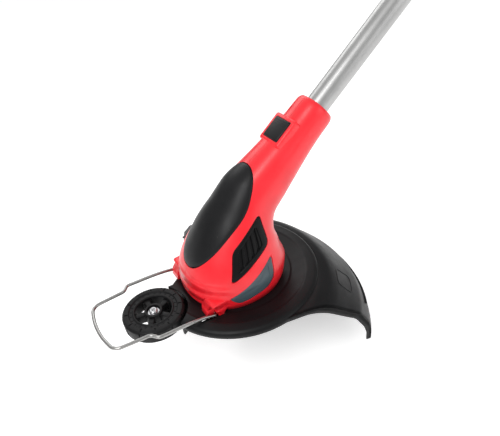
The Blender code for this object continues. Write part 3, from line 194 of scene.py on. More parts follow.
# %% Sums on sockets
class Value:
    def __init__(self, finish, socket):
        self.finish = finish
        self.socket = socket

    def maths(self, operation, *others, clamp=False):
        settings = {"operation": operation, "use_clamp": clamp}
        return self.finish.node("ShaderNodeMath", settings, {k: v for k, v in enumerate((self, *others))})

    def swapped(self, operation, first):
        return self.finish.node("ShaderNodeMath", {"operation": operation}, {0: first, 1: self})

    def __add__(self, other):
        return self.maths("ADD", other)

    __radd__ = __add__

    def __mul__(self, other):
        return self.maths("MULTIPLY", other)

    __rmul__ = __mul__

    def __sub__(self, other):
        return self.maths("SUBTRACT", other)

    def __rsub__(self, other):
        return self.swapped("SUBTRACT", other)

    def __truediv__(self, other):
        return self.maths("DIVIDE", other)

    def __gt__(self, other):
        return self.maths("GREATER_THAN", other)

    def __lt__(self, other):
        return self.maths("LESS_THAN", other)


class Finish:
    """One material: its patterns are made with node(), and put() feeds its shader."""

    def __init__(self, name, colour, roughness, metallic=0.0, **fixed):
        self.material = bpy.data.materials.new(name)
        self.material.use_nodes = True
        self.tree = self.material.node_tree
        self.shader = self.tree.nodes["Principled BSDF"]
        self.put("Base Color", (*colour, 1.0))
        self.put("Roughness", roughness)
        self.put("Metallic", metallic)
        for socket, value in fixed.items():
            self.put(socket.replace("_", " "), value)
        self.coordinates = self.tree.nodes.new("ShaderNodeTexCoord").outputs["Object"]
        self.colour = colour

    def feed(self, socket, value):
        if isinstance(value, Value):
            self.tree.links.new(value.socket, socket)
        elif isinstance(value, bpy.types.NodeSocket):
            self.tree.links.new(value, socket)
        else:
            socket.default_value = value

    def put(self, name, value):
        self.feed(self.shader.inputs[name], value)

    def node(self, kind, settings=None, inputs=None, output=0):
        made = self.tree.nodes.new(kind)
        for name, value in (settings or {}).items():
            if name == "stops":
                self.set_stops(made.color_ramp, value)
            else:
                setattr(made, name, value)
        for name, value in (inputs or {}).items():
            self.feed(made.inputs[name], value)
        return Value(self, made.outputs[output])

    def set_stops(self, ramp, stops):
        while len(ramp.elements) < len(stops):
            ramp.elements.new(0.5)
        for element, (place, colour) in zip(ramp.elements, stops):
            element.position = place
            element.color = colour

    def stretched(self, scale, turn=(0.0, 0.0, 0.0)):
        """Object coordinates turned and scaled, for a grain that runs one way."""
        turned = self.node("ShaderNodeMapping", {"vector_type": "POINT"},
                           {"Vector": self.coordinates, "Rotation": turn})
        return self.node("ShaderNodeMapping", {"vector_type": "POINT"}, {"Vector": turned, "Scale": scale})

    def noise(self, scale, detail=3.0, rough=0.5, vector=None, distortion=0.0):
        inputs = {"Vector": vector or self.coordinates, "Scale": scale, "Detail": detail,
                  "Roughness": rough, "Distortion": distortion}
        return self.node("ShaderNodeTexNoise", {"noise_dimensions": "3D"}, inputs)

    def cells(self, scale, feature="F1", vector=None):
        return self.node("ShaderNodeTexVoronoi", {"feature": feature},
                         {"Vector": vector or self.coordinates, "Scale": scale})

    def axis(self, index):
        return self.node("ShaderNodeSeparateXYZ", None, {0: self.coordinates}, index)

    def ranged(self, value, low, high, to_low=0.0, to_high=1.0):
        return self.node("ShaderNodeMapRange", {"clamp": True}, {
            "Value": value, "From Min": low, "From Max": high, "To Min": to_low, "To Max": to_high})

    def mixed(self, factor, first, second):
        inputs = {0: factor}
        for index, value in ((6, first), (7, second)):
            inputs[index] = value if isinstance(value, Value) else (*value, 1.0)
        return self.node("ShaderNodeMix", {"data_type": "RGBA"}, inputs, 2)

    def bump(self, height, depth, strength=1.0, under=None):
        inputs = {"Height": height, "Distance": depth, "Strength": strength}
        if under is not None:
            inputs["Normal"] = under
        made = self.node("ShaderNodeBump", None, inputs)
        self.put("Normal", made)
        return made


print("shader sums ready")

# %% [markdown]
# ## Moulded plastics
# A moulded part copies its mould: a glossy red has a faint orange peel, a satin black copies a spark-eroded
# mould's fine pits. Handling adds hair scratches and a little dust, which mostly change the roughness.

# %% Red and black plastics
def scratches(finish, scale, turn, density=0.78):
    """Thin lines that run one way, from a noise stretched along them."""
    long = finish.stretched((scale * 0.05, scale, scale), turn)
    line = finish.noise(1.0, 2.0, 0.6, long)
    return finish.ranged(line, density, density + 0.08)


def moulded(name, colour, roughness, pit_scale, pit_depth, dust=(0.5, 0.48, 0.42), peel=0.00001, **fixed):
    finish = Finish(name, colour, roughness, **fixed)
    cloud = finish.noise(22.0, 4.0, 0.55)
    smear = finish.noise(75.0, 3.0, 0.6)
    hair = scratches(finish, 900.0, (0.3, 0.5, 0.9)) + scratches(finish, 700.0, (1.1, 0.2, 0.4))
    darker = tuple(c * 0.86 for c in colour)
    lighter = tuple(min(1.0, c * 1.08 + 0.002) for c in colour)
    base = finish.mixed(finish.ranged(cloud, 0.3, 0.7), darker, lighter)
    speck = finish.ranged(finish.noise(420.0, 2.0, 0.7), 0.72, 0.8, 0.0, 0.1)
    base = finish.mixed(speck, base, dust)
    finish.put("Base Color", base)
    varied = roughness - 0.05 + finish.ranged(smear, 0.3, 0.7, 0.0, 0.1) + hair * 0.06
    finish.put("Roughness", varied)
    pits = finish.cells(pit_scale) * 0.6 + finish.noise(pit_scale * 1.7, 2.0, 0.6) * 0.4
    first = finish.bump(finish.noise(160.0, 2.0, 0.5), peel)
    finish.bump(pits, pit_depth, 1.0, first)
    return finish


RED = moulded("gloss_red_moulding", (0.98, 0.014, 0.026), 0.34, 2600.0, 0.000006,
              Coat_Weight=0.18, Coat_Roughness=0.22)
# Two soft folds run round the bell's front, below the cover
rise = (RED.axis(2) * (2 * math.pi / 0.013)).maths("SINE")
front = RED.ranged(RED.axis(0), -0.03, -0.05) * RED.ranged(RED.axis(2), 0.108, 0.114) \
    * RED.ranged(RED.axis(2), 0.14, 0.134)
peel_normal = RED.shader.inputs["Normal"].links[0].from_socket
RED.bump(rise * front, 0.0011, 1.0, peel_normal)
BLACK = moulded("satin_black_moulding", (0.0065, 0.0066, 0.0075), 0.4, 2400.0, 0.000022,
                Specular_IOR_Level=0.26)
# Darker and duller than the satin black: painted shade for the dark open slots behind the vent's louvres,
# laid on the whole vent.
VENT_BLACK_WITH_PAINTED_SLOT_SHADE = moulded("grille_black", (0.003, 0.003, 0.0034), 0.42, 2600.0, 0.00002, Specular_IOR_Level=0.16)
HOOD_BLACK = moulded("hood_black", (0.0055, 0.0056, 0.0062), 0.42, 1900.0, 0.00003, peel=0.00003,
                     Specular_IOR_Level=0.2)
NYLON_BLACK = moulded("wheel_nylon", (0.006, 0.006, 0.0065), 0.46, 1700.0, 0.00004, Specular_IOR_Level=0.2)
GRIP = moulded("soft_grip", (0.009, 0.009, 0.0095), 0.68, 900.0, 0.00008, Specular_IOR_Level=0.3)
print("plastics:", len(bpy.data.materials) - 1)

# %% [markdown]
# ## Metals
# An anodised tube is drawn through a die, so its grain runs lengthwise and its highlight is one long band.
# Zinc plate on a screw is turned, and spring wire is drawn and then plated bright.

# %% Metals
def drawn_metal(name, colour, roughness, along, fine, depth):
    """A metal with lines along the object's own x, turned by the given angles to lie on the piece."""
    finish = Finish(name, colour, roughness, 1.0)
    lines = finish.noise(1.0, 3.0, 0.6, finish.stretched((fine * 0.012, fine, fine), along))
    cloud = finish.noise(30.0, 3.0, 0.5)
    dull = tuple(c * 0.86 for c in colour)
    finish.put("Base Color", finish.mixed(finish.ranged(cloud, 0.35, 0.7), dull, colour))
    handled = scratches(finish, 800.0, (0.2, 0.9, 0.1), 0.8)
    finish.put("Roughness", roughness - 0.06 + finish.ranged(lines, 0.3, 0.7, 0.0, 0.12) + handled * 0.08)
    finish.bump(lines, depth)
    return finish


LEAN = math.asin(ALONG.z)
ALUMINIUM = drawn_metal("anodised_tube", (0.5, 0.5, 0.495), 0.4, (0.0, LEAN, 0.0), 1500.0, 0.000012)
BRIGHT_WIRE = drawn_metal("bright_wire", (0.4, 0.395, 0.385), 0.3, (0.0, 0.0, 0.0), 2200.0, 0.000008)
ZINC = drawn_metal("zinc_plate", (0.5, 0.5, 0.51), 0.32, (0.0, 0.0, 1.2), 1800.0, 0.00001)
CAN_STEEL = drawn_metal("can_steel", (0.42, 0.43, 0.45), 0.36, (0.0, 1.5, 0.0), 1200.0, 0.00001)
MAGNET = drawn_metal("magnet_block", (0.08, 0.08, 0.085), 0.55, (0.0, 0.0, 0.0), 600.0, 0.00003)

COPPER = Finish("copper_winding", (0.62, 0.27, 0.12), 0.34, 1.0)
turns = COPPER.node("ShaderNodeTexWave", {"bands_direction": "Z"},
                    {"Vector": COPPER.coordinates, "Scale": 320.0, "Distortion": 0.6})
COPPER.put("Base Color", COPPER.mixed(turns, (0.3, 0.1, 0.05), (0.72, 0.33, 0.16)))
COPPER.bump(turns, 0.0003)
print("metals ready")

# %% [markdown]
# ## Label and line
# The side plate is left blank: a slate lacquer with a fine metallic fleck and a pale keyline set in from its
# edge. The line is extruded nylon, and shows a faint twist.

# %% Label and line
SLATE = Finish("blank_slate_label", (0.055, 0.085, 0.1), 0.36)
fleck = SLATE.cells(3200.0)
SLATE.put("Base Color", SLATE.mixed(SLATE.ranged(fleck, 0.0, 0.35, 0.55, 0.0), (0.05, 0.078, 0.093),
                                    (0.12, 0.17, 0.2)))
SLATE.put("Roughness", 0.32 + SLATE.ranged(SLATE.noise(120.0), 0.3, 0.7, 0.0, 0.12))
SLATE.bump(SLATE.noise(1400.0, 2.0), 0.000006)

KEYLINE = Finish("pale_keyline", (0.55, 0.57, 0.58), 0.38)
KEYLINE.bump(KEYLINE.noise(1500.0, 2.0), 0.000006)
KEYLINE.put("Base Color", KEYLINE.mixed(KEYLINE.noise(300.0), (0.5, 0.52, 0.53), (0.6, 0.62, 0.63)))

NYLON = Finish("orange_line", (0.8, 0.2, 0.04), 0.34)
twist = NYLON.node("ShaderNodeTexWave", {"bands_direction": "DIAGONAL"},
                   {"Vector": NYLON.coordinates, "Scale": 260.0, "Distortion": 0.4})
NYLON.put("Base Color", NYLON.mixed(twist, (0.62, 0.13, 0.02), (0.86, 0.25, 0.06)))
NYLON.put("Roughness", 0.3 + twist * 0.1)
NYLON.bump(twist, 0.00008)
print("all finishes:", len(bpy.data.materials))

# %% [markdown]
# ## Shaping helpers
# Each piece starts as a bmesh. These helpers turn a profile, sweep a round bar, thicken an outline and hand
# the finished mesh over to the body that it moves with.

# %% Handing a piece over
def handed_over(made, looks, body, nodes=(), angle=32.0):
    """Gives a shape its finishes, smooth shading, body, material slot and the nodes it stands for."""
    nodes = (nodes,) if isinstance(nodes, str) else nodes
    made.data.materials.clear()
    for look in looks if isinstance(looks, (list, tuple)) else [looks]:
        made.data.materials.append(look.material)
    made.data.shade_smooth()
    made.data.set_sharp_from_angle(angle=math.radians(angle))
    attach(made, body)
    if nodes:
        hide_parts(*nodes)
    print(made.name, len(made.data.polygons), "faces")
    return made


def faced_out(work):
    bmesh.ops.remove_doubles(work, verts=work.verts, dist=0.000002)
    bmesh.ops.recalc_face_normals(work, faces=work.faces)
    return work


def added(work, other, look=0):
    """Puts another bmesh's faces into this one, with a finish of their own, and frees it."""
    for face in other.faces:
        if look:
            face.material_index = look
    mesh = bpy.data.meshes.new("part")
    other.to_mesh(mesh)
    other.free()
    work.from_mesh(mesh)
    bpy.data.meshes.remove(mesh)
    return work


# %% Turned, swept and extruded shapes
def placed_by(work, place):
    bmesh.ops.transform(work, matrix=place or Matrix.Identity(4), verts=work.verts)
    return work


def next_ring(work, edges):
    """Extrudes a loop of edges, and gives the vertices and edges of the new loop."""
    made = bmesh.ops.extrude_edge_only(work, edges=edges)["geom"]
    verts = [v for v in made if isinstance(v, bmesh.types.BMVert)]
    keep = set(verts)
    return verts, [e for e in made if isinstance(e, bmesh.types.BMEdge) and set(e.verts) <= keep]


def corner_curve(before, corner, after, radius, steps):
    """The points that round one corner; the curve takes at most 0.45 of either side."""
    a, b, c = Vector(before), Vector(corner), Vector(after)
    reach = min(radius, (a - b).length * 0.45, (c - b).length * 0.45)
    start, end = b + (a - b).normalized() * reach, b + (c - b).normalized() * reach
    shares = [k / steps for k in range(steps + 1)]
    return [tuple(start * (1 - t) ** 2 + b * 2 * t * (1 - t) + end * t * t) for t in shares]


def softened(profile, radius, steps=3):
    """An open profile with each inner corner rounded."""
    made = [profile[0]]
    for before, corner, after in zip(profile, profile[1:], profile[2:]):
        made += corner_curve(before, corner, after, radius, steps)
    return made + [profile[-1]]


def rounded_corners(points, radius, steps=6):
    """A closed outline with each corner rounded."""
    made = []
    for k in range(len(points)):
        made += corner_curve(points[k - 1], points[k], points[(k + 1) % len(points)], radius, steps)
    return made


def half_turn(x, y, radius, start):
    """Points of a half circle, from the start angle in degrees."""
    angles = [math.radians(start + 11.25 * k) for k in range(17)]
    return [(x + radius * math.cos(angle), y + radius * math.sin(angle)) for angle in angles]


def turned_shape(profile, place=None, steps=72, radius=0.0):
    """A profile of (radius, height) in millimetres, spun round z; off the axis it is closed."""
    closed = profile[0][0] > 0
    points = list(profile)
    if radius and closed:
        points = softened(points + [points[0]], radius)[:-1]
    elif radius:
        points = softened(points, radius)
    work = bmesh.new()
    corners = [work.verts.new((r * MM, 0.0, z * MM)) for r, z in points]
    edges = [work.edges.new(pair) for pair in zip(corners, corners[1:])]
    if closed:
        edges.append(work.edges.new((corners[-1], corners[0])))
    bmesh.ops.spin(work, geom=corners + edges, cent=(0, 0, 0), axis=(0, 0, 1), dvec=(0, 0, 0),
                   angle=2 * math.pi, steps=steps, use_merge=True)
    return placed_by(faced_out(work), place)


def swept_bar(points, radius, sides=24, closed=False, place=None):
    """A round bar along points in millimetres; the radius is one number or one for each point."""
    points = [Vector(point) for point in points]
    radii = radius if isinstance(radius, (list, tuple)) else [radius] * len(points)
    count = len(points)
    work = bmesh.new()
    side = None
    loops = []
    for k, point in enumerate(points):
        before = points[(k - 1) % count] if closed or k else point
        after = points[(k + 1) % count] if closed or k < count - 1 else point
        run = (after - before).normalized()
        if side is None:
            side = run.orthogonal().normalized()
        side = (side - run * side.dot(run)).normalized()
        turn = placed(side, run.cross(side), run, point * MM)
        if not loops:
            made = bmesh.ops.create_circle(work, segments=sides, radius=radii[k] * MM, matrix=turn)
            loops.append((made["verts"], turn, radii[k]))
            edges = work.edges[:]
        else:
            verts, edges = next_ring(work, edges)
            back = loops[-1][1].inverted()
            grow = Matrix.Scale(radii[k] / loops[-1][2], 4)
            bmesh.ops.transform(work, matrix=turn @ grow @ back, verts=verts)
            loops.append((verts, turn, radii[k]))
    first = [e for e in work.edges if e.is_boundary and all(v in set(loops[0][0]) for v in e.verts)]
    if closed:
        bmesh.ops.bridge_loops(work, edges=first + edges)
    else:
        bmesh.ops.edgeloop_fill(work, edges=first)
        bmesh.ops.edgeloop_fill(work, edges=edges)
    bmesh.ops.recalc_face_normals(work, faces=work.faces)
    return placed_by(work, place)


def flowing(points, steps=6, closed=False):
    """Points of a smooth curve through the given ones."""
    count = len(points)
    near = [Vector(p) for p in points]
    made = []
    for k in range(count if closed else count - 1):
        a, b, c, d = (near[i % count] if closed else near[min(max(i, 0), count - 1)]
                      for i in (k - 1, k, k + 1, k + 2))
        for s in range(steps):
            t = s / steps
            made.append(0.5 * (2 * b + (c - a) * t + (2 * a - 5 * b + 4 * c - d) * t * t
                               + (3 * b - a - 3 * c + d) * t ** 3))
    return made if closed else made + [near[-1]]


def eased(work, edge, segments):
    """Rounds all edges by a radius in millimetres, or none if it is 0."""
    if edge:
        bmesh.ops.bevel(work, geom=work.edges[:], offset=edge * MM, segments=segments, profile=0.5,
                        affect="EDGES", material=-1)
    return work


def slab(outline, low, high, place=None, edge=0.0, segments=2):
    """An outline in millimetres made a plate from low to high, with its edges rounded."""
    work = bmesh.new()
    face = work.faces.new([work.verts.new((x * MM, y * MM, low * MM)) for x, y in outline])
    lifted = bmesh.ops.extrude_face_region(work, geom=[face])["geom"]
    top = [v for v in lifted if isinstance(v, bmesh.types.BMVert)]
    bmesh.ops.translate(work, verts=top, vec=(0, 0, (high - low) * MM))
    bmesh.ops.recalc_face_normals(work, faces=work.faces)
    return placed_by(eased(work, edge, segments), place)


def block(low, high, place=None, edge=0.0, segments=3):
    work = bmesh.new()
    bmesh.ops.create_cube(work, size=1.0)
    bmesh.ops.scale(work, vec=(Vector(high) - Vector(low)) * MM, verts=work.verts)
    bmesh.ops.translate(work, vec=(Vector(high) + Vector(low)) * MM / 2, verts=work.verts)
    return placed_by(eased(work, edge, segments), place)


def rod(radius, low, high, place=None, sides=48):
    work = bmesh.new()
    bmesh.ops.create_cone(work, cap_ends=True, segments=sides, radius1=radius * MM, radius2=radius * MM,
                          depth=(high - low) * MM)
    bmesh.ops.translate(work, vec=(0, 0, (high + low) * MM / 2), verts=work.verts)
    return placed_by(work, place)


def carved(made, tools, operation="DIFFERENCE"):
    """Applies one Boolean for each tool, and keeps the result in the object's own mesh."""
    for tool in tools:
        cutter = meshed(tool, "cutter")
        boolean = made.modifiers.new("carve", "BOOLEAN")
        boolean.operation = operation
        boolean.solver = "MANIFOLD"
        boolean.object = cutter
        bpy.context.view_layer.update()
        graph = bpy.context.evaluated_depsgraph_get()
        result = bpy.data.meshes.new_from_object(made.evaluated_get(graph))
        made.modifiers.clear()
        old, made.data = made.data, result
        bpy.data.meshes.remove(old)
        bpy.data.objects.remove(cutter, do_unlink=True)
    return made


def as_tool(made):
    """An object's mesh as a bmesh, ready to carve with; the object is used up."""
    work = bmesh.new()
    work.from_mesh(made.data)
    bpy.data.objects.remove(made, do_unlink=True)
    return work


def dressed(look, *nodes):
    """Puts a finish on CAD nodes that keep their own shape."""
    for name in nodes:
        slots = frame["nodes"][name].data.materials
        slots.clear()
        slots.append(look.material)


print("helpers ready")

# %% [markdown]
# ## The housing's form
# The real housing is a clamshell that grows from a round neck into a wide motor bell. It is drawn as a stack
# of rounded sections: each is a circle squared off a little, leaning more the nearer it is to the neck. A
# smooth curve through the stack gives as many rings as the surface needs.

# %% Sections of the housing
BELL = [  # centre x, centre z, lean, half length, half width
    (-5.0, 104.0, 0.0, 55.0, 53.0), (-5.0, 113.0, 0.0, 58.0, 56.5), (-3.0, 127.0, 5.0, 58.5, 56.5),
    (2.0, 139.0, 14.0, 56.0, 53.5), (8.0, 150.0, 24.0, 52.0, 48.5), (14.0, 162.0, 35.0, 47.5, 43.5),
    (20.0, 174.5, 44.0, 42.0, 38.5), (23.0, 185.5, 50.0, 37.0, 34.5),
]
NECK = [  # distance up the tube, half length, half width
    (12.0, 32.3, 31.0), (32.0, 29.5, 28.5), (60.0, 25.7, 25.2), (85.0, 22.7, 22.5), (104.0, 21.3, 21.3),
    (121.0, 20.6, 20.6), (126.0, 18.6, 18.6),
]
LEAN_DEGREES = 90.0 - math.degrees(LEAN)
BELL_POWER = 0.91


def tube_point(distance, up=0.0, across=0.0):
    return TUBE_TOP @ Vector((distance * MM, across * MM, up * MM))


def housing_rows():
    rows = list(BELL)
    for distance, length, width in NECK:
        place = tube_point(distance) / MM
        rows.append((place.x, place.z, LEAN_DEGREES, length, width))
    return flowing(rows)


def squared(value, power):
    """Pushes a cosine or a sine outwards, which squares a circle off a little."""
    return math.copysign(abs(value) ** power, value)


def ring_placed(verts, layer, row, outset):
    """Lays a ring of vertices on one section, each at the turn kept in the layer."""
    x, z, lean, length, width = row
    turn = shift(x, 0.0, z) @ spun(lean, "Y")
    for vert in verts:
        c, s = math.cos(vert[layer]), math.sin(vert[layer])
        across = (length + outset) * squared(c, BELL_POWER)
        wide = (width + outset) * squared(s, BELL_POWER)
        vert.co = turn @ Vector((across * MM, wide * MM, 0.0))


def housing_form(outset=0.0, last=None, below=0.0, sides=112):
    """The housing's closed form, drawn out or in, up to its last row and with more length below."""
    rows = housing_rows()[:last]
    if below:
        x, z, lean, length, width = rows[0]
        rows.insert(0, Vector((x, z - below, lean, length, width)))
    work = bmesh.new()
    layer = work.verts.layers.float.new("turn")
    ring = bmesh.ops.create_circle(work, segments=sides, radius=1.0)["verts"]
    for vert in ring:
        vert[layer] = math.atan2(vert.co.y, vert.co.x)
    ring_placed(ring, layer, rows[0], outset)
    edges = work.edges[:]
    bottom = edges[:]
    for row in rows[1:]:
        ring, edges = next_ring(work, edges)
        ring_placed(ring, layer, row, outset)
    bmesh.ops.edgeloop_fill(work, edges=bottom)
    bmesh.ops.edgeloop_fill(work, edges=edges)
    bmesh.ops.recalc_face_normals(work, faces=work.faces)
    return work


probe = housing_form()
SURFACE = BVHTree.FromBMesh(probe)
print("housing form:", len(probe.faces), "faces")
probe.free()

# %% [markdown]
# ## Outlines on the housing
# The cover, the vents and the label are let into the surface. Each has a flat outline seen along one
# direction; the outline cuts the housing, and the same outline, a hair smaller, is laid on the surface.

# %% Outlines
COVER_MIDDLE, COVER_LONG, COVER_WIDE = -27.0, 124.0, 61.0
VENT = [(20.0, 197.0), (23.0, 162.0), (-31.0, 138.0), (-19.0, 169.0)]
LABEL = [(23.0, 150.0), (19.0, 127.0), (9.0, 118.5), (-10.0, 115.5), (-28.0, 112.0), (-38.0, 121.0)]


def cover_outline(count=96):
    points = []
    for k in range(count):
        c, s = math.cos(2 * math.pi * k / count), math.sin(2 * math.pi * k / count)
        points.append((COVER_MIDDLE + COVER_LONG / 2 * squared(c, 0.92), COVER_WIDE / 2 * squared(s, 0.88)))
    return points


def evened(points, count):
    """The same closed outline with its points spaced evenly along it."""
    ring = [Vector(p) for p in points]
    ring.append(ring[0])
    lengths = [0.0]
    for a, b in zip(ring, ring[1:]):
        lengths.append(lengths[-1] + (b - a).length)
    made, k = [], 0
    for s in range(count):
        want = lengths[-1] * s / count
        while lengths[k + 1] < want:
            k += 1
        part = (want - lengths[k]) / max(lengths[k + 1] - lengths[k], 1e-9)
        made.append(tuple(ring[k].lerp(ring[k + 1], part)))
    return made


def laid_on(outline, to_ray, steps, middle=True):
    """Rings of an outline laid on the housing; steps holds (draw in, height above the surface) pairs."""
    work = bmesh.new()
    count = len(outline)
    centre = sum((Vector(p) for p in outline), Vector((0.0, 0.0))) / count
    ring = bmesh.ops.create_circle(work, segments=count, radius=1.0)["verts"]
    edges = work.edges[:]
    reach = min((Vector(p) - centre).length for p in outline)
    for number, (inward, height) in enumerate(steps):
        if number:
            ring, edges = next_ring(work, edges)
        share = max(0.0, 1.0 - inward / reach)
        for vert, point in zip(ring, outline):
            flat = centre + (Vector(point) - centre) * share
            start, direction = to_ray(flat.x, flat.y)
            hit = SURFACE.ray_cast(start, direction)[0]
            if hit is None:
                hit = SURFACE.find_nearest(start + direction * 0.1)[0]
            vert.co = hit - direction * height * MM
    if middle:
        bmesh.ops.edgeloop_fill(work, edges=edges)
    return work


def ray_from_top(t, y):
    return tube_point(t, 90.0, y), -UPPER


def ray_from_left(x, z):
    return Vector((x * MM, -0.15, z * MM)), Vector((0.0, 1.0, 0.0))


print("outlines ready")

# %% [markdown]
# ## The red housing
# The form is hollowed, then cut by the outlines, the screw holes and the neck's bore. The raised frame
# round the release button and the two lugs for the wire are joined on first, as one moulding. A thin slice
# along the middle leaves the line where the halves meet.

# %% Housing
LUG = Vector(JOINTS["plant_guard_swing"]["pos_m"]) / MM
LUG_PLACE = shift(LUG.x, 0, LUG.z)
LUG_REACH, LUG_R = 44.0, 9.0
BUTTON_AT, BUTTON_HALF, BUTTON_GAP = 81.0, 12.0, 0.3
NECK_BORE, SHELL_WALL, SEAM_HALF = 16.5, 2.8, 0.12


def lug_solid(side, margin=0.0):
    """The lug for one end of the wire, or with a margin the room that it needs."""
    radius = LUG_R + margin
    outline = [(LUG.x + 24.0 + margin, LUG.z + 16.0), (LUG.x - 2.0, LUG.z + 16.0),
               (LUG.x - radius + 1.0, LUG.z + 8.0)] + half_turn(LUG.x, LUG.z, radius, 180.0)
    low, high = LUG_REACH - 15.0 - margin, LUG_REACH + 4.0 + margin
    if side > 0:
        low, high = -high, -low
    return slab(outline, low, high, SIDE, edge=0.0 if margin else 1.4)


housing = meshed(housing_form(), "housing")
frame_block = block((BUTTON_AT - 16.5, -16.5, 14.0), (BUTTON_AT + 16.5, 16.5, 25.2), TUBE_TOP, edge=2.6)
housing = carved(housing, [frame_block, lug_solid(-1), lug_solid(1)], "UNION")
hollow = housing_form(-SHELL_WALL, last=58, below=6.0, sides=64)
tools = [hollow, rod(NECK_BORE, 20.0, 131.0, TUBE_LATHE, 64)]
room = BUTTON_HALF + BUTTON_GAP
tools.append(block((BUTTON_AT - room, -room, 18.6), (BUTTON_AT + room, room, 40.0), TUBE_TOP, edge=1.5))
tools.append(slab(cover_outline(), 8.0, 70.0, TUBE_TOP))
vent_edge = evened(rounded_corners(VENT, 6.0), 90)
label_edge = evened(rounded_corners(LABEL, 5.0), 110)
tools.append(block((105.0, 8.5, 14.5), (110.5, 11.5, 24.0), TUBE_TOP, edge=0.6))
tools.append(slab(vent_edge, -90.0, 90.0, SIDE))
seat = carved(meshed(slab(label_edge, -90.0, 90.0, SIDE), "seat"), [housing_form(-1.2)])
tools.append(as_tool(seat))
for side in (-1.0, 1.0):
    pocket = rod(6.0, LUG_REACH - 1.6, LUG_REACH + 8.0, LUG_PLACE @ spun(-90.0 * side, "X"), 32)
    low, high = sorted((side * (LUG_REACH - 1.6), side * (LUG_REACH + 8.0)))
    tools += [pocket, block((LUG.x - 20.0, low, LUG.z - 3.2), (LUG.x, high, LUG.z + 14.0))]
tools.append(rod(2.2, -LUG_REACH - 3.0, LUG_REACH + 3.0, LUG_PLACE @ spun(90.0, "X"), 24))
for node in ("seam_screw_1", "seam_screw_2"):
    low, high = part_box(node)
    screw = Matrix.Translation(Vector(((low.x + high.x) / 2, 0, (low.z + high.z) / 2)))
    tools.append(rod(3.6, 18.0, 90.0, screw @ spun(-90.0, "X"), 32))
tools.append(block((-200.0, -SEAM_HALF, 0.0), (400.0, SEAM_HALF, 400.0)))
housing = carved(housing, tools)
handed_over(housing, RED, "head", ("head_shell_left", "head_shell_right"), 30.0)

# %% [markdown]
# ## Plates let into the housing
# The cover bulges a little and has a rolled edge. The label is a thin plate with a pale keyline. A vent
# is a closed tray with upright louvres standing in it, inside a narrow rim; the tray and its extra-dark black
# are painted shade for the open slots.

# %% Cover
COVER_STEPS = [(0.35, -2.6), (0.35, -0.4), (0.5, 0.25), (0.95, 0.7), (1.7, 1.0), (3.0, 1.2), (5.5, 1.4),
               (9.0, 1.6), (14.0, 1.8), (19.0, 1.9), (24.0, 1.95), (28.0, 1.95)]
cover = meshed(laid_on(cover_outline(), ray_from_top, COVER_STEPS), "cover")
handed_over(cover, BLACK, "head", "top_cover", 50.0)


# %% Label plates and vents
def on_both_sides(make, name, looks, node):
    """Makes a left piece, and a right one mirrored from it."""
    for side in ("left", "right"):
        work = make()
        if side == "right":
            bmesh.ops.scale(work, vec=(1.0, -1.0, 1.0), verts=work.verts)
            bmesh.ops.reverse_faces(work, faces=work.faces)
        handed_over(meshed(work, f"{name}_{side}"), looks, "head", f"{node}_{side}", 40.0)


def outward(work):
    """Turns the faces of a plate laid on the left side so that they look away from the housing."""
    facing = sum(face.normal.y * face.calc_area() for face in work.faces)
    if facing > 0:
        bmesh.ops.reverse_faces(work, faces=work.faces)
    return work


def label_plate():
    """The blank plate, and the keyline that stands a hair above it."""
    plate_steps = [(0.4, -1.2), (0.4, -0.25), (0.6, 0.02), (1.6, 0.05), (6.0, 0.05), (12.0, 0.05)]
    line_steps = [(2.0, 0.02), (2.05, 0.1), (2.6, 0.1), (2.65, 0.02)]
    plate = outward(laid_on(label_edge, ray_from_left, plate_steps))
    line = outward(laid_on(label_edge, ray_from_left, line_steps, middle=False))
    return added(plate, line, 1)


def vent_bar(share, half):
    """One louvre, at a share of the vent's width and as wide as twice the half."""
    top, right, bottom, left = (Vector(p) for p in VENT)
    low_a, low_b = bottom.lerp(right, share - half), bottom.lerp(right, share + half)
    high_a, high_b = left.lerp(top, share - half), left.lerp(top, share + half)
    inner = [low_a.lerp(high_a, 0.12), low_b.lerp(high_b, 0.12), low_b.lerp(high_b, 0.88),
             low_a.lerp(high_a, 0.88)]
    outline = evened(rounded_corners(inner, 1.2, 3), 56)
    return outward(laid_on(outline, ray_from_left, [(0.0, -3.0), (0.0, -1.9), (0.2, -1.5), (0.6, -1.35)]))


def vent():
    """The vent's rim and tray, with five louvres standing in it; the closed tray is painted shade where the
    slots open into the housing.
    """
    rim_steps = [(0.35, -3.1), (0.35, -0.5), (0.6, -0.1), (1.1, 0.05), (3.6, 0.05), (4.2, -0.2),
                 (4.4, -0.8), (4.5, -3.0), (7.0, -3.1), (10.0, -3.1)]
    tray = outward(laid_on(vent_edge, ray_from_left, rim_steps))
    for k in range(5):
        added(tray, vent_bar(0.19 + 0.155 * k, 0.04))
    return tray


on_both_sides(label_plate, "label", (SLATE, KEYLINE), "label_plate")
on_both_sides(vent, "vent", VENT_BLACK_WITH_PAINTED_SLOT_SHADE, "vent_grille")

# %% [markdown]
# ## Release button
# A square key with rolled edges and three low ridges for the thumb, in the raised frame on the neck.

# %% Release button
key = block((BUTTON_AT - BUTTON_HALF, -BUTTON_HALF, 21.2), (BUTTON_AT + BUTTON_HALF, BUTTON_HALF, 26.5),
            TUBE_TOP, edge=2.0, segments=5)
for k in range(3):
    across = BUTTON_AT + 5.0 + 2.2 * k
    added(key, block((across - 0.4, -8.0, 25.9), (across + 0.4, 8.0, 26.58), TUBE_TOP, edge=0.25))
handed_over(meshed(key, "neck_key"), BLACK, "neck_button", "release_button")

# %% [markdown]
# ## Guard
# The guard is a turned form of which only a part is kept. Its flat dish and its hood are spun from two
# profiles, and planes cut the hood to its span. The ends are stiffened by a thicker rib.

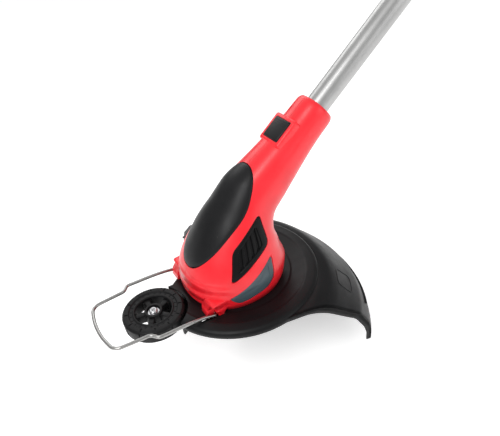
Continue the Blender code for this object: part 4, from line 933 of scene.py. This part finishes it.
# %% Guard
DECK, WALL, RIB = 103.7, 2.6, 3.2
HOOD_X, HOOD_R, HOOD_LOW, HOOD_END = -14.0, 166.0, 17.0, 87.0
DISH_R, BEAD_R = 94.5, 160.6
wheel_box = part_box("edging_wheel")
WHEEL_X = (wheel_box[0].x + wheel_box[1].x) / 2 / MM
WHEEL_R = (wheel_box[1].x - wheel_box[0].x) / 2 / MM
WHEEL_LOW, WHEEL_HIGH = wheel_box[0].z / MM, wheel_box[1].z / MM
WHEEL_PLACE, HOOD_PLACE = shift(WHEEL_X, 0, 0), shift(HOOD_X, 0, 0)
WELL_R = WHEEL_R + 3.5


def hood_profile(wall):
    """The hood's section: its outer line going down and its inner line coming back."""
    outer = [(86.0, 104.5), (108.0, 104.0), (118.0, 100.5), (126.0, 94.0), (140.0, 79.0), (153.0, 66.0),
             (HOOD_R - 2.5, 44.0), (HOOD_R, 32.0), (HOOD_R, HOOD_LOW)]
    inner = [(HOOD_R - wall, HOOD_LOW), (HOOD_R - wall, 31.0), (HOOD_R - 2.5 - wall * 1.1, 42.5),
             (152.0 - wall * 0.75, 64.5 - wall * 0.4), (139.0 - wall * 0.7, 78.0 - wall * 0.6),
             (125.0 - wall * 0.6, 93.0 - wall * 0.7), (117.0 - wall * 0.4, 100.0 - wall),
             (107.5, 104.0 - wall), (86.0, 104.5 - wall)]
    return outer + inner


def cut_open(work, point, normal):
    """Removes what lies on the normal's side of a plane and closes the cut."""
    whole = work.verts[:] + work.edges[:] + work.faces[:]
    made = bmesh.ops.bisect_plane(work, geom=whole, dist=0.0000001, plane_co=point, plane_no=normal,
                                  clear_outer=True)["geom_cut"]
    rim = [e for e in made if isinstance(e, bmesh.types.BMEdge)]
    bmesh.ops.holes_fill(work, edges=rim, sides=0)
    return work


NEAR_POINT, NEAR_OUT = Vector((0.0, -92.8, 0.0)) * MM, Vector((-0.194, -0.981, 0.0)).normalized()
FAR_TURN = math.radians(HOOD_END)
FAR_POINT = Vector((HOOD_X, 0.0, 0.0)) * MM
FAR_OUT = Vector((-math.sin(FAR_TURN), math.cos(FAR_TURN), 0.0))


def hood_span(wall, near_band=None, far_band=None):
    """The hood between its two end planes, or only a band of it at one end."""
    work = turned_shape(hood_profile(wall), HOOD_PLACE, steps=150, radius=3.5)
    cut_open(work, Vector((0.0, 0.0, 0.0)), Vector((-1.0, 0.0, 0.0)))
    cut_open(work, NEAR_POINT, NEAR_OUT)
    cut_open(work, FAR_POINT, FAR_OUT)
    if near_band:
        cut_open(work, NEAR_POINT - NEAR_OUT * near_band * MM, -NEAR_OUT)
    if far_band:
        cut_open(work, FAR_POINT - FAR_OUT * far_band * MM, -FAR_OUT)
    return work


dish_profile = [
    (34.0, DECK), (62.0, DECK), (64.0, DECK + 1.2), (79.0, 107.2), (81.0, 108.0), (90.5, 107.4),
    (93.0, 105.8), (DISH_R, 103.0), (DISH_R, 99.5), (DISH_R - WALL, 99.5), (DISH_R - WALL, 102.5),
    (DISH_R - 5.0, 104.4), (80.0, 104.6), (64.0, DECK - WALL + 0.8), (62.0, DECK - WALL),
    (36.6, DECK - WALL), (36.6, 77.0), (34.0, 77.0),
]
dish = meshed(turned_shape(dish_profile, steps=144, radius=0.9), "hood")
dish_tools = [rod(WELL_R, 60.0, 130.0, WHEEL_PLACE, 96)]
for side in (-1.0, 1.0):
    dish_tools.append(lug_solid(side, 0.4))
    low, high = sorted((side * (LUG_REACH - 2.2), side * (LUG_REACH + 4.2)))
    dish_tools.append(block((LUG.x - 17.0, low, LUG.z - 3.0), (LUG.x, high, LUG.z + 6.0), edge=0.8))
open_side = [(-12.5, 130.0), (-130.0, 130.0), (-130.0, 24.0), (-70.0, 24.0), (-56.0, 35.0), (-12.5, 89.0)]
dish = carved(dish, dish_tools + [slab(open_side, 40.0, 140.0)])
well = meshed(turned_shape([(WELL_R, 105.5), (WELL_R, 90.0), (WHEEL_R + 6.0, 90.0), (WHEEL_R + 6.0, 105.5)],
                           WHEEL_PLACE, steps=96), "well")
well = carved(well, [rod(DISH_R - 1.0, 60.0, 120.0, None, 96)], "INTERSECT")
well = carved(well, [slab(open_side, 40.0, 140.0)])
guard_mesh = bmesh.new()
added(guard_mesh, block((LUG.x - 17.4, -LUG_REACH - 4.6, 101.2), (LUG.x + 3.0, -LUG_REACH + 2.6, 102.3)))
for made in (dish, well):
    guard_mesh.from_mesh(made.data)
    bpy.data.objects.remove(made, do_unlink=True)
for made in (hood_span(WALL), hood_span(WALL + 3.0, near_band=RIB), hood_span(WALL + 3.0, far_band=RIB)):
    added(guard_mesh, made)
bead = []
for k in range(73):
    angle = math.radians(-35.0 + (HOOD_END + 33.5) * k / 72)
    bead.append((HOOD_X + BEAD_R * math.cos(angle), BEAD_R * math.sin(angle), 51.4))
added(guard_mesh, swept_bar(bead, 1.3, sides=16))
badge_edge = evened(rounded_corners([(27.0, 127.0), (27.0, 143.0), (38.0, 143.0), (38.0, 127.0)], 3.0), 60)


def on_hood(turn, out):
    """A point on the hood's slope, from the turn in degrees and the distance from its axis."""
    share = (out - 126.0) / (140.0 - 126.0)
    height = 94.0 - 15.0 * share if share < 1 else 79.0 - 13.0 * (out - 140.0) / 13.0
    angle = math.radians(-turn)
    return HOOD_X + out * math.cos(angle), out * math.sin(angle), height - 0.1


badge_line = [on_hood(turn, out) for turn, out in badge_edge]
added(guard_mesh, swept_bar(badge_line, 0.55, sides=10, closed=True))
added(guard_mesh, block((HOOD_R - 18.0, -5.0, HOOD_LOW), (HOOD_R - 1.0, -1.0, HOOD_LOW + 16.0),
                        HOOD_PLACE @ spun(HOOD_END), edge=0.6))
handed_over(meshed(guard_mesh, "guard_hood"), HOOD_BLACK, "head", "guard", 34.0)

# %% [markdown]
# ## Line cutter and small screws
# The blade and the screws keep the CAD's shape; they are small, so a plated finish is enough.

# %% Small steel pieces
dressed(ZINC, "line_cutter", "cutter_screw", "guard_screw_1", "guard_screw_2", "guard_screw_3",
        "guard_screw_4", "arm_screw_1", "arm_screw_2", "seam_screw_1", "seam_screw_2", "button_spring",
        "spool_spring", "bearing_lower", "bearing_upper", "motor_shaft")
dressed(CAN_STEEL, "motor_can")
dressed(MAGNET, "magnet_front", "magnet_back", "microswitch")
dressed(COPPER, "armature_core", "commutator")
dressed(BLACK, "cooling_fan", "motor_end_cap", "spool")
dressed(NYLON, "wound_line")
print("dressed CAD nodes")

# %% [markdown]
# ## Edging wheel
# A moulded wheel: a thick rim with grooves across its tread, a step down to a web of five spokes, and a hub
# that a shouldered screw turns in. The grooves are cut by one tool made of many small blocks.

# %% Edging wheel
rim_profile = [
    (19.6, WHEEL_LOW + 1.5), (21.0, WHEEL_LOW), (WHEEL_R - 2.0, WHEEL_LOW), (WHEEL_R, WHEEL_LOW + 2.0),
    (WHEEL_R, WHEEL_HIGH - 2.2), (WHEEL_R - 2.2, WHEEL_HIGH), (26.5, WHEEL_HIGH), (25.9, WHEEL_HIGH - 1.1),
    (22.3, WHEEL_HIGH - 1.1), (21.8, WHEEL_HIGH - 0.3), (20.4, WHEEL_HIGH - 0.3), (19.6, WHEEL_HIGH - 1.6),
]
rim = meshed(turned_shape(rim_profile, WHEEL_PLACE, steps=120, radius=0.5), "rim")
grooves = bmesh.new()
for k in range(12):
    turn = WHEEL_PLACE @ spun(30.0 * k + 11.0)
    added(grooves, block((26.9, -0.7, WHEEL_HIGH - 0.9), (WHEEL_R - 2.9, 0.7, WHEEL_HIGH + 2.0), turn))
    added(grooves, block((WHEEL_R - 1.3, -0.9, WHEEL_LOW - 2.0), (WHEEL_R + 2.0, 0.9, WHEEL_HIGH + 2.0),
                         turn))
for k in range(24):
    turn = WHEEL_PLACE @ spun(15.0 * k + 3.0)
    added(grooves, block((22.9, -0.45, WHEEL_HIGH - 1.8), (25.4, 0.45, WHEEL_HIGH + 1.0), turn))
rim = carved(rim, [grooves])
wheel = as_tool(rim)
for k in range(5):
    turn = WHEEL_PLACE @ spun(72.0 * k + 20.0)
    added(wheel, block((8.5, -2.9, WHEEL_LOW + 2.0), (20.6, 2.9, WHEEL_HIGH - 3.2), turn, edge=0.7))
    added(wheel, block((17.5, -4.8, WHEEL_LOW + 2.4), (20.8, 4.8, WHEEL_HIGH - 4.0), turn, edge=0.7))
hub_profile = [(3.6, WHEEL_LOW), (9.4, WHEEL_LOW), (9.9, WHEEL_LOW + 0.8), (9.9, WHEEL_HIGH - 1.6),
               (9.3, WHEEL_HIGH - 1.0), (7.2, WHEEL_HIGH - 1.0), (6.8, WHEEL_HIGH - 5.0),
               (3.6, WHEEL_HIGH - 5.0)]
added(wheel, turned_shape(hub_profile, WHEEL_PLACE, steps=64, radius=0.3))
handed_over(meshed(wheel, "ground_wheel"), NYLON_BLACK, "wheel", "edging_wheel")

# %% Axle screw
head_at = WHEEL_HIGH - 4.7
bolt_profile = [(0.0, 4.0), (3.5, 4.0), (4.5, 3.0), (4.5, 1.2), (6.2, 1.2), (6.2, 0.0), (3.2, 0.0),
                (3.2, -22.0), (0.0, -24.0)]
bolt = meshed(turned_shape([(r, head_at + z) for r, z in bolt_profile], WHEEL_PLACE, steps=64), "bolt")
drive = bmesh.new()
for turn in (25.0, 115.0):
    added(drive, block((-2.3, -0.6, head_at + 2.2), (2.3, 0.6, head_at + 6.0), WHEEL_PLACE @ spun(turn)))
bolt = carved(bolt, [drive])
handed_over(bolt, ZINC, "head", "axle_screw")

# %% [markdown]
# ## Wheel arm
# A flat tongue under the guard, rounded at the axle, with a boss that the wheel stands on.

# %% Wheel arm
arm_outline = [(-44.0, -22.0), (-44.0, 22.0), (-60.0, 22.0), *half_turn(WHEEL_X, 0.0, 9.0, 90.0),
               (-60.0, -22.0)]
arm = slab(arm_outline, 84.0, 89.0, edge=0.8)
boss_profile = [(3.5, 78.0), (7.4, 78.0), (8.0, 79.0), (8.0, WHEEL_LOW - 0.3), (3.5, WHEEL_LOW - 0.3)]
added(arm, turned_shape(boss_profile, WHEEL_PLACE, steps=48))
post_profile = [(2.0, 88.0), (4.6, 88.0), (4.6, 100.7), (2.0, 100.7)]
for across in (-15.0, 15.0):
    added(arm, turned_shape(post_profile, shift(-52.0, across, 0), steps=40))
handed_over(meshed(arm, "wheel_tongue"), NYLON_BLACK, "head", "wheel_arm")

# %% [markdown]
# ## Plant guard wire
# One length of spring wire, bent in a jig: straight feet in the lugs, a rise over the guard, a jog inwards
# and a square nose with round corners. A smooth curve through its corners gives the bends.

# %% Plant guard wire
ARM_Y, WIRE_R = LUG_REACH + 1.0, 1.86
half_wire = [
    (LUG.x, ARM_Y - 7.0, LUG.z), (LUG.x, ARM_Y - 2.4, LUG.z), (LUG.x - 0.8, ARM_Y - 0.6, LUG.z + 0.2),
    (LUG.x - 2.8, ARM_Y, LUG.z + 0.9), (LUG.x - 14.0, ARM_Y, LUG.z + 4.5), (LUG.x - 32.0, ARM_Y, LUG.z + 7.5),
    (-106.0, ARM_Y, 115.0), (-112.0, ARM_Y - 0.1, 115.7), (-115.6, ARM_Y - 1.2, 116.0),
    (-120.0, ARM_Y - 6.2, 116.4), (-123.6, ARM_Y - 7.8, 116.8), (-129.0, ARM_Y - 8.2, 117.0),
    (-148.0, ARM_Y - 9.7, 117.9), (-154.0, ARM_Y - 11.0, 118.0), (-158.2, ARM_Y - 15.0, 118.0),
    (-160.0, ARM_Y - 20.0, 118.0), (-162.4, 12.0, 118.0),
]
route = [(x, -y, z) for x, y, z in half_wire] + [(-163.0, 0.0, 118.0)] + half_wire[::-1]
wire_piece = meshed(swept_bar(flowing(route, 5), WIRE_R, sides=20), "guard_wire")
handed_over(wire_piece, BRIGHT_WIRE, "wire_guard", "plant_guard_wire", 60.0)

# %% [markdown]
# ## Tube
# The lower tube turns in the neck on a black sleeve and slides in the wider upper tube.

# %% Tubes
def tube_ring(inner, outer, low, high, edge=0.3):
    """A length of round tube about the trimmer's own tube, with small chamfers."""
    profile = [(inner, low + edge), (inner + edge, low), (outer - edge, low), (outer, low + edge),
               (outer, high - edge), (outer - edge, high), (inner + edge, high), (inner, high - edge)]
    return turned_shape(profile, TUBE_LATHE, steps=96)


inner_tube = meshed(tube_ring(11.3, 12.5, 66.0, 660.0), "inner_tube")
handed_over(inner_tube, ALUMINIUM, "lower_shaft", "lower_tube")
outer_tube = meshed(tube_ring(13.5, 15.0, 512.0, 985.0), "outer_tube")
handed_over(outer_tube, ALUMINIUM, "upper_shaft", "upper_tube")
sleeve = turned_shape([(12.8, 66.0), (18.2, 66.0), (18.2, 69.0), (16.2, 69.0), (16.2, 124.2), (15.6, 125.0),
                       (13.4, 125.0), (12.8, 124.4)], TUBE_LATHE, steps=72)
handed_over(meshed(sleeve, "turning_sleeve"), BLACK, "lower_shaft", "swivel_sleeve")

# %% [markdown]
# ## Spool
# The cup turns with the motor. Ribs round it give grip when it is opened, and the domed cap under it is
# tapped on the ground to let out line.

# %% Spool cup, cover and cap
CUP_R, CUP_LOW, CUP_HIGH = 42.0, 47.0, 71.0
CUP_PLACE = shift(0, 0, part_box("spool_cup")[1].z / MM - (CUP_HIGH + 4.0))
cup_profile = [
    (CUP_R - 3.8, CUP_HIGH), (CUP_R - 0.8, CUP_HIGH - 4.0), (CUP_R - 0.8, CUP_LOW), (CUP_R - 2.6, CUP_LOW),
    (CUP_R - 2.6, CUP_HIGH - 4.5), (9.5, CUP_HIGH - 2.6), (9.5, CUP_HIGH - 12.0), (4.3, CUP_HIGH - 12.0),
    (4.3, CUP_HIGH + 4.0), (9.0, CUP_HIGH + 4.0), (9.0, CUP_HIGH),
]
cup = turned_shape(cup_profile, CUP_PLACE, steps=96, radius=0.6)
for k in range(36):
    if k % 18 in (5, 6, 7):
        continue
    turn = spun(10.0 * k + 2.0) @ CUP_PLACE
    added(cup, block((CUP_R - 1.4, -1.3, CUP_LOW + 1.0), (CUP_R - 0.05, 1.3, CUP_HIGH - 6.0), turn, edge=0.5))
handed_over(meshed(cup, "spool_drum"), BLACK, "rotor", "spool_cup")
lock = turned_shape([(CUP_R - 0.4, CUP_LOW - 0.3), (CUP_R, CUP_LOW - 2.0), (CUP_R, CUP_LOW - 4.0),
                     (CUP_R - 3.0, CUP_LOW - 6.0), (30.5, CUP_LOW - 6.0), (30.5, CUP_LOW - 0.3)],
                    CUP_PLACE, steps=96, radius=0.5)
for turn in (0.0, 180.0):
    added(lock, block((CUP_R - 5.0, -7.0, CUP_LOW - 4.6), (CUP_R - 0.02, 7.0, CUP_LOW - 0.6),
                      spun(turn) @ CUP_PLACE, edge=0.8))
handed_over(meshed(lock, "drum_cover"), BLACK, "rotor", "spool_cover")
cap_profile = [(0.0, 53.5), (10.0, 53.5), (11.7, 51.5), (11.7, 47.2), (29.0, 47.2), (29.0, 31.0),
               (27.5, 26.0), (24.2, 20.5), (19.2, 14.0), (14.2, 8.0), (10.4, 3.0), (8.0, 0.0), (0.0, 0.0)]
cap = turned_shape(cap_profile, steps=96, radius=1.6)
for k in range(12):
    rib = block((13.5, -0.9, -1.0), (27.2, 0.9, 1.0), edge=0.4)
    bmesh.ops.transform(rib, matrix=spun(30.0 * k) @ shift(0, 0, 8.0) @ Matrix.Translation((0.0135, 0, 0))
                        @ spun(-49.0, "Y") @ Matrix.Translation((-0.0135, 0, 0)), verts=rib.verts)
    added(cap, rib)
handed_over(meshed(cap, "tap_cap"), BLACK, "bump_unit", "bump_cap")

# %% Eyelets and line ends
for number in (1, 2):
    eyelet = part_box(f"eyelet_{number}")
    middle = (eyelet[0] + eyelet[1]) / 2 / MM
    lay = spun(math.degrees(math.atan2(middle.y, middle.x))) @ shift(0, 0, middle.z)
    ring_profile = [(4.8, 1.6), (4.8, 0.3), (3.6, 0.3), (3.6, -2.6), (1.6, -2.6), (1.6, 1.0), (2.2, 1.6)]
    ring_profile = [(r, CUP_R + z) for r, z in ring_profile]
    ring = turned_shape(ring_profile, lay @ spun(90.0, "Y"), steps=48, radius=0.3)
    handed_over(meshed(ring, f"line_eyelet_{number}"), ZINC, "rotor", f"eyelet_{number}")
    inside = CUP_R - 2.6
    line_points = [(inside - 2.4, 3.2, 0.0), (inside - 0.8, 0.9, 0.0), (inside + 0.2, 0.35, 0.0),
                   (inside + 1.6, 0.0, 0.0), (70.0, 0.0, 0.0), (91.9, 0.0, 0.0)]
    line = swept_bar(flowing(line_points, 6), 0.98, sides=16, place=lay)
    line = meshed(line, f"line_tail_{number}")
    handed_over(line, NYLON, "rotor", f"line_end_{number}", 60.0)

# %% [markdown]
# ## Tube clamp
# A collar with two ears. The red lever turns between them and its cam squeezes the collar on the tube.

# %% Tube clamp
collar_profile = [(18.0, 545.0), (20.0, 543.0), (20.0, 496.0), (15.5, 488.0), (12.8, 488.0), (12.8, 511.7),
                  (15.3, 511.7), (15.3, 545.0)]
collar = turned_shape(collar_profile, TUBE_LATHE, steps=96, radius=1.2)
ear = [(498.0, 17.0), (500.6, 26.5), (503.2, 28.6), (505.0, 29.0), (506.8, 28.6), (509.4, 26.5),
       (513.0, 17.0)]
for low in (-11.0, 7.0):
    added(collar, slab(ear, low, low + 4.0, TUBE_SIDE, edge=0.7))
for k in range(5):
    added(collar, turned_shape([(19.0, 520.0 + 4.0 * k), (20.0, 520.6 + 4.0 * k), (20.0, 522.0 + 4.0 * k),
                                (19.0, 522.6 + 4.0 * k)], TUBE_LATHE, steps=72))
handed_over(meshed(collar, "tube_collar"), BLACK, "upper_shaft", "clamp_body")
lever_outline = [(501.3, 23.0), (502.2, 26.6), (505.0, 29.0), (518.0, 28.0), (540.0, 24.0), (541.0, 21.0),
                 (518.0, 22.5), (509.0, 20.7), (503.0, 20.7)]
lever = slab(lever_outline, -6.7, 6.7, TUBE_SIDE, edge=0.8)
added(lever, rod(2.0, -10.5, 10.5, TUBE_SIDE @ shift(505.0, 24.0, 0.0), 32))
handed_over(meshed(lever, "cam_lever"), RED, "clamp_lever", "clamp_lever")

# %% [markdown]
# ## Loop handle
# A split collar holds a bolt, the loop tilts on it and a lobed knob tightens it. The loop is a bent bar
# under a soft ribbed sleeve.

# %% Loop handle
AUX_AT, AUX_UP, AUX_R = 800.0, 31.0, 11.0
aux_pivot = TUBE_SIDE @ shift(AUX_AT, AUX_UP, 0)
clamp = tube_ring(15.3, 20.0, AUX_AT - 17.0, AUX_AT + 17.0, 1.0)
added(clamp, block((AUX_AT - 11.0, 16.5, -13.0), (AUX_AT + 11.0, AUX_UP - 8.0, 13.0), TUBE_SIDE, edge=1.2))
ear = [(AUX_AT - 9.0, AUX_UP - 12.0), (AUX_AT + 9.0, AUX_UP - 12.0), *half_turn(AUX_AT, AUX_UP, 9.0, 0.0)]
for low in (-13.0, 8.0):
    added(clamp, slab(ear, low, low + 5.0, TUBE_SIDE, edge=0.8))
handed_over(meshed(clamp, "loop_collar"), BLACK, "upper_shaft", "aux_clamp")

FOOT = AUX_UP + AUX_R + 17.0
RISE, HALF, GRIPPED = 120.0, 62.0, 0.36
half_loop = [(0.0, FOOT), (HALF * 0.55, FOOT + 0.08 * RISE), (HALF * 0.92, FOOT + 0.32 * RISE),
             (HALF, FOOT + 0.62 * RISE), (HALF * 0.86, FOOT + 0.88 * RISE), (HALF * 0.45, FOOT + RISE)]
loop_points = half_loop + [(-y, u) for y, u in half_loop[:0:-1]]
loop_route = flowing([(AUX_AT, u, y) for y, u in loop_points], 8, closed=True)
count = len(loop_route)
thick = []
for k in range(count):
    share = min(k, count - k) / (count / 2)
    ridge = 0.05 if k % 2 else 0.75
    thick.append(AUX_R - (ridge if share > GRIPPED else 2.2))
loop = swept_bar(loop_route, thick, sides=40, closed=True, place=TUBE_SIDE)
added(loop, rod(7.7, -7.7, 7.7, aux_pivot, 64), 1)
foot = block((AUX_AT - 7.0, AUX_UP + 2.0, -7.5), (AUX_AT + 7.0, FOOT - 4.0, 7.5), TUBE_SIDE, edge=1.5)
added(loop, foot, 1)
loop = meshed(loop, "tilting_loop")
handed_over(loop, (GRIP, BLACK), "aux_handle", "aux_handle", 50.0)

lobes = []
for k in range(72):
    angle = 2 * math.pi * k / 72
    reach = 12.9 - 2.0 * math.cos(6 * angle)
    lobes.append((reach * math.cos(angle), reach * math.sin(angle)))
knob = slab(lobes, 13.3, 25.0, aux_pivot, edge=1.0)
added(knob, rod(3.0, -13.0, 16.0, aux_pivot, 32))
handed_over(meshed(knob, "loop_knob"), BLACK, "aux_knob", "aux_knob")

# %% [markdown]
# ## Rear handle
# The grip is a closed loop grown from the tube's stem. The red shell carries a soft black inlay where the
# hand closes. The trigger hangs inside the loop, and its lock stands above it.

# %% Rear handle
GRIP_R = 15.95
centres = [(1000.0, 2.0), (1022.0, 28.0), (1052.0, 48.0), (1090.0, 54.0), (1128.0, 46.0),
           (1146.0, 22.0), (1142.0, -8.0), (1112.0, -16.0), (1070.0, -13.0), (1030.0, -6.0)]
grip_route = flowing([(x, y, 0.0) for x, y in centres], 7, closed=True)
stem_profile = [(0.0, 1022.0), (16.0, 1020.0), (20.8, 1006.0), (21.8, 985.0), (20.8, 947.0), (18.8, 935.0),
                (0.0, 935.0)]
stem = turned_shape(stem_profile, TUBE_LATHE, steps=96, radius=4.0)
shell = meshed(stem, "handle")
shell = carved(shell, [swept_bar(grip_route, GRIP_R - 0.25, sides=48, closed=True, place=TUBE_SIDE)], "UNION")
shell_cuts = [rod(15.2, 930.0, 989.0, TUBE_LATHE, 64),
              block((1041.0, 18.0, -6.5), (1097.0, 52.5, 6.5), TUBE_SIDE, edge=0.5),
              block((1052.5, 50.0, -5.5), (1071.5, 90.0, 5.5), TUBE_SIDE, edge=0.5),
              block((1146.0, -16.0, -9.5), (1190.0, 10.0, 9.5), TUBE_SIDE, edge=0.8),
              block((900.0, -60.0, -SEAM_HALF), (1200.0, 100.0, SEAM_HALF), TUBE_SIDE)]
shell = carved(shell, shell_cuts)
handed_over(shell, RED, "upper_shaft", ("handle_shell_left", "handle_shell_right"))
inlay = meshed(swept_bar(grip_route[9:31], GRIP_R, sides=48, place=TUBE_SIDE), "grip_inlay")
inlay = carved(inlay, [block((1040.0, 0.0, -20.0), (1100.0, 38.6, 20.0), TUBE_SIDE),
                       block((1041.0, 18.0, -7.0), (1097.0, 52.5, 7.0), TUBE_SIDE),
                       block((1052.0, 50.0, -6.0), (1072.0, 90.0, 6.0), TUBE_SIDE)])
handed_over(inlay, GRIP, "upper_shaft")

# %% Trigger, lock and inlet
trigger_outline = [(1043.0, 36.5), (1044.0, 43.0), (1050.0, 44.5), (1092.0, 42.0), (1094.0, 36.0),
                   (1087.0, 28.0), (1079.0, 26.4), (1071.0, 26.5), (1063.0, 25.6), (1055.0, 25.0),
                   (1048.0, 28.0)]
trigger = slab(evened(rounded_corners(trigger_outline, 4.0), 64), -6.2, 6.2, TUBE_SIDE, edge=1.0)
handed_over(meshed(trigger, "finger_trigger"), BLACK, "trigger", "trigger")
lock = block((1053.0, 60.0, -5.0), (1071.0, 70.6, 5.0), TUBE_SIDE, edge=1.6)
for k in range(4):
    added(lock, block((1056.2 + 3.4 * k, 70.0, -3.8), (1057.4 + 3.4 * k, 71.0, 3.8), TUBE_SIDE, edge=0.3))
handed_over(meshed(lock, "thumb_lock"), BLACK, "lock_button", "lock_off_button")
inlet = meshed(block((1148.0, -15.5, -9.0), (1176.0, 9.5, 9.0), TUBE_SIDE, edge=1.6), "inlet")
inlet = carved(inlet, [block((1164.0, -12.0, -6.6), (1180.0, 6.0, 6.6), TUBE_SIDE, edge=1.0)])
socket_mesh = as_tool(inlet)
for across in (-3.2, 3.2):
    pin = block((1160.0, -5.0, across - 0.8), (1174.5, -1.0, across + 0.8), TUBE_SIDE, edge=0.4)
    added(socket_mesh, pin, 1)
handed_over(meshed(socket_mesh, "mains_inlet"), (BLACK, ZINC), "upper_shaft", "power_inlet")
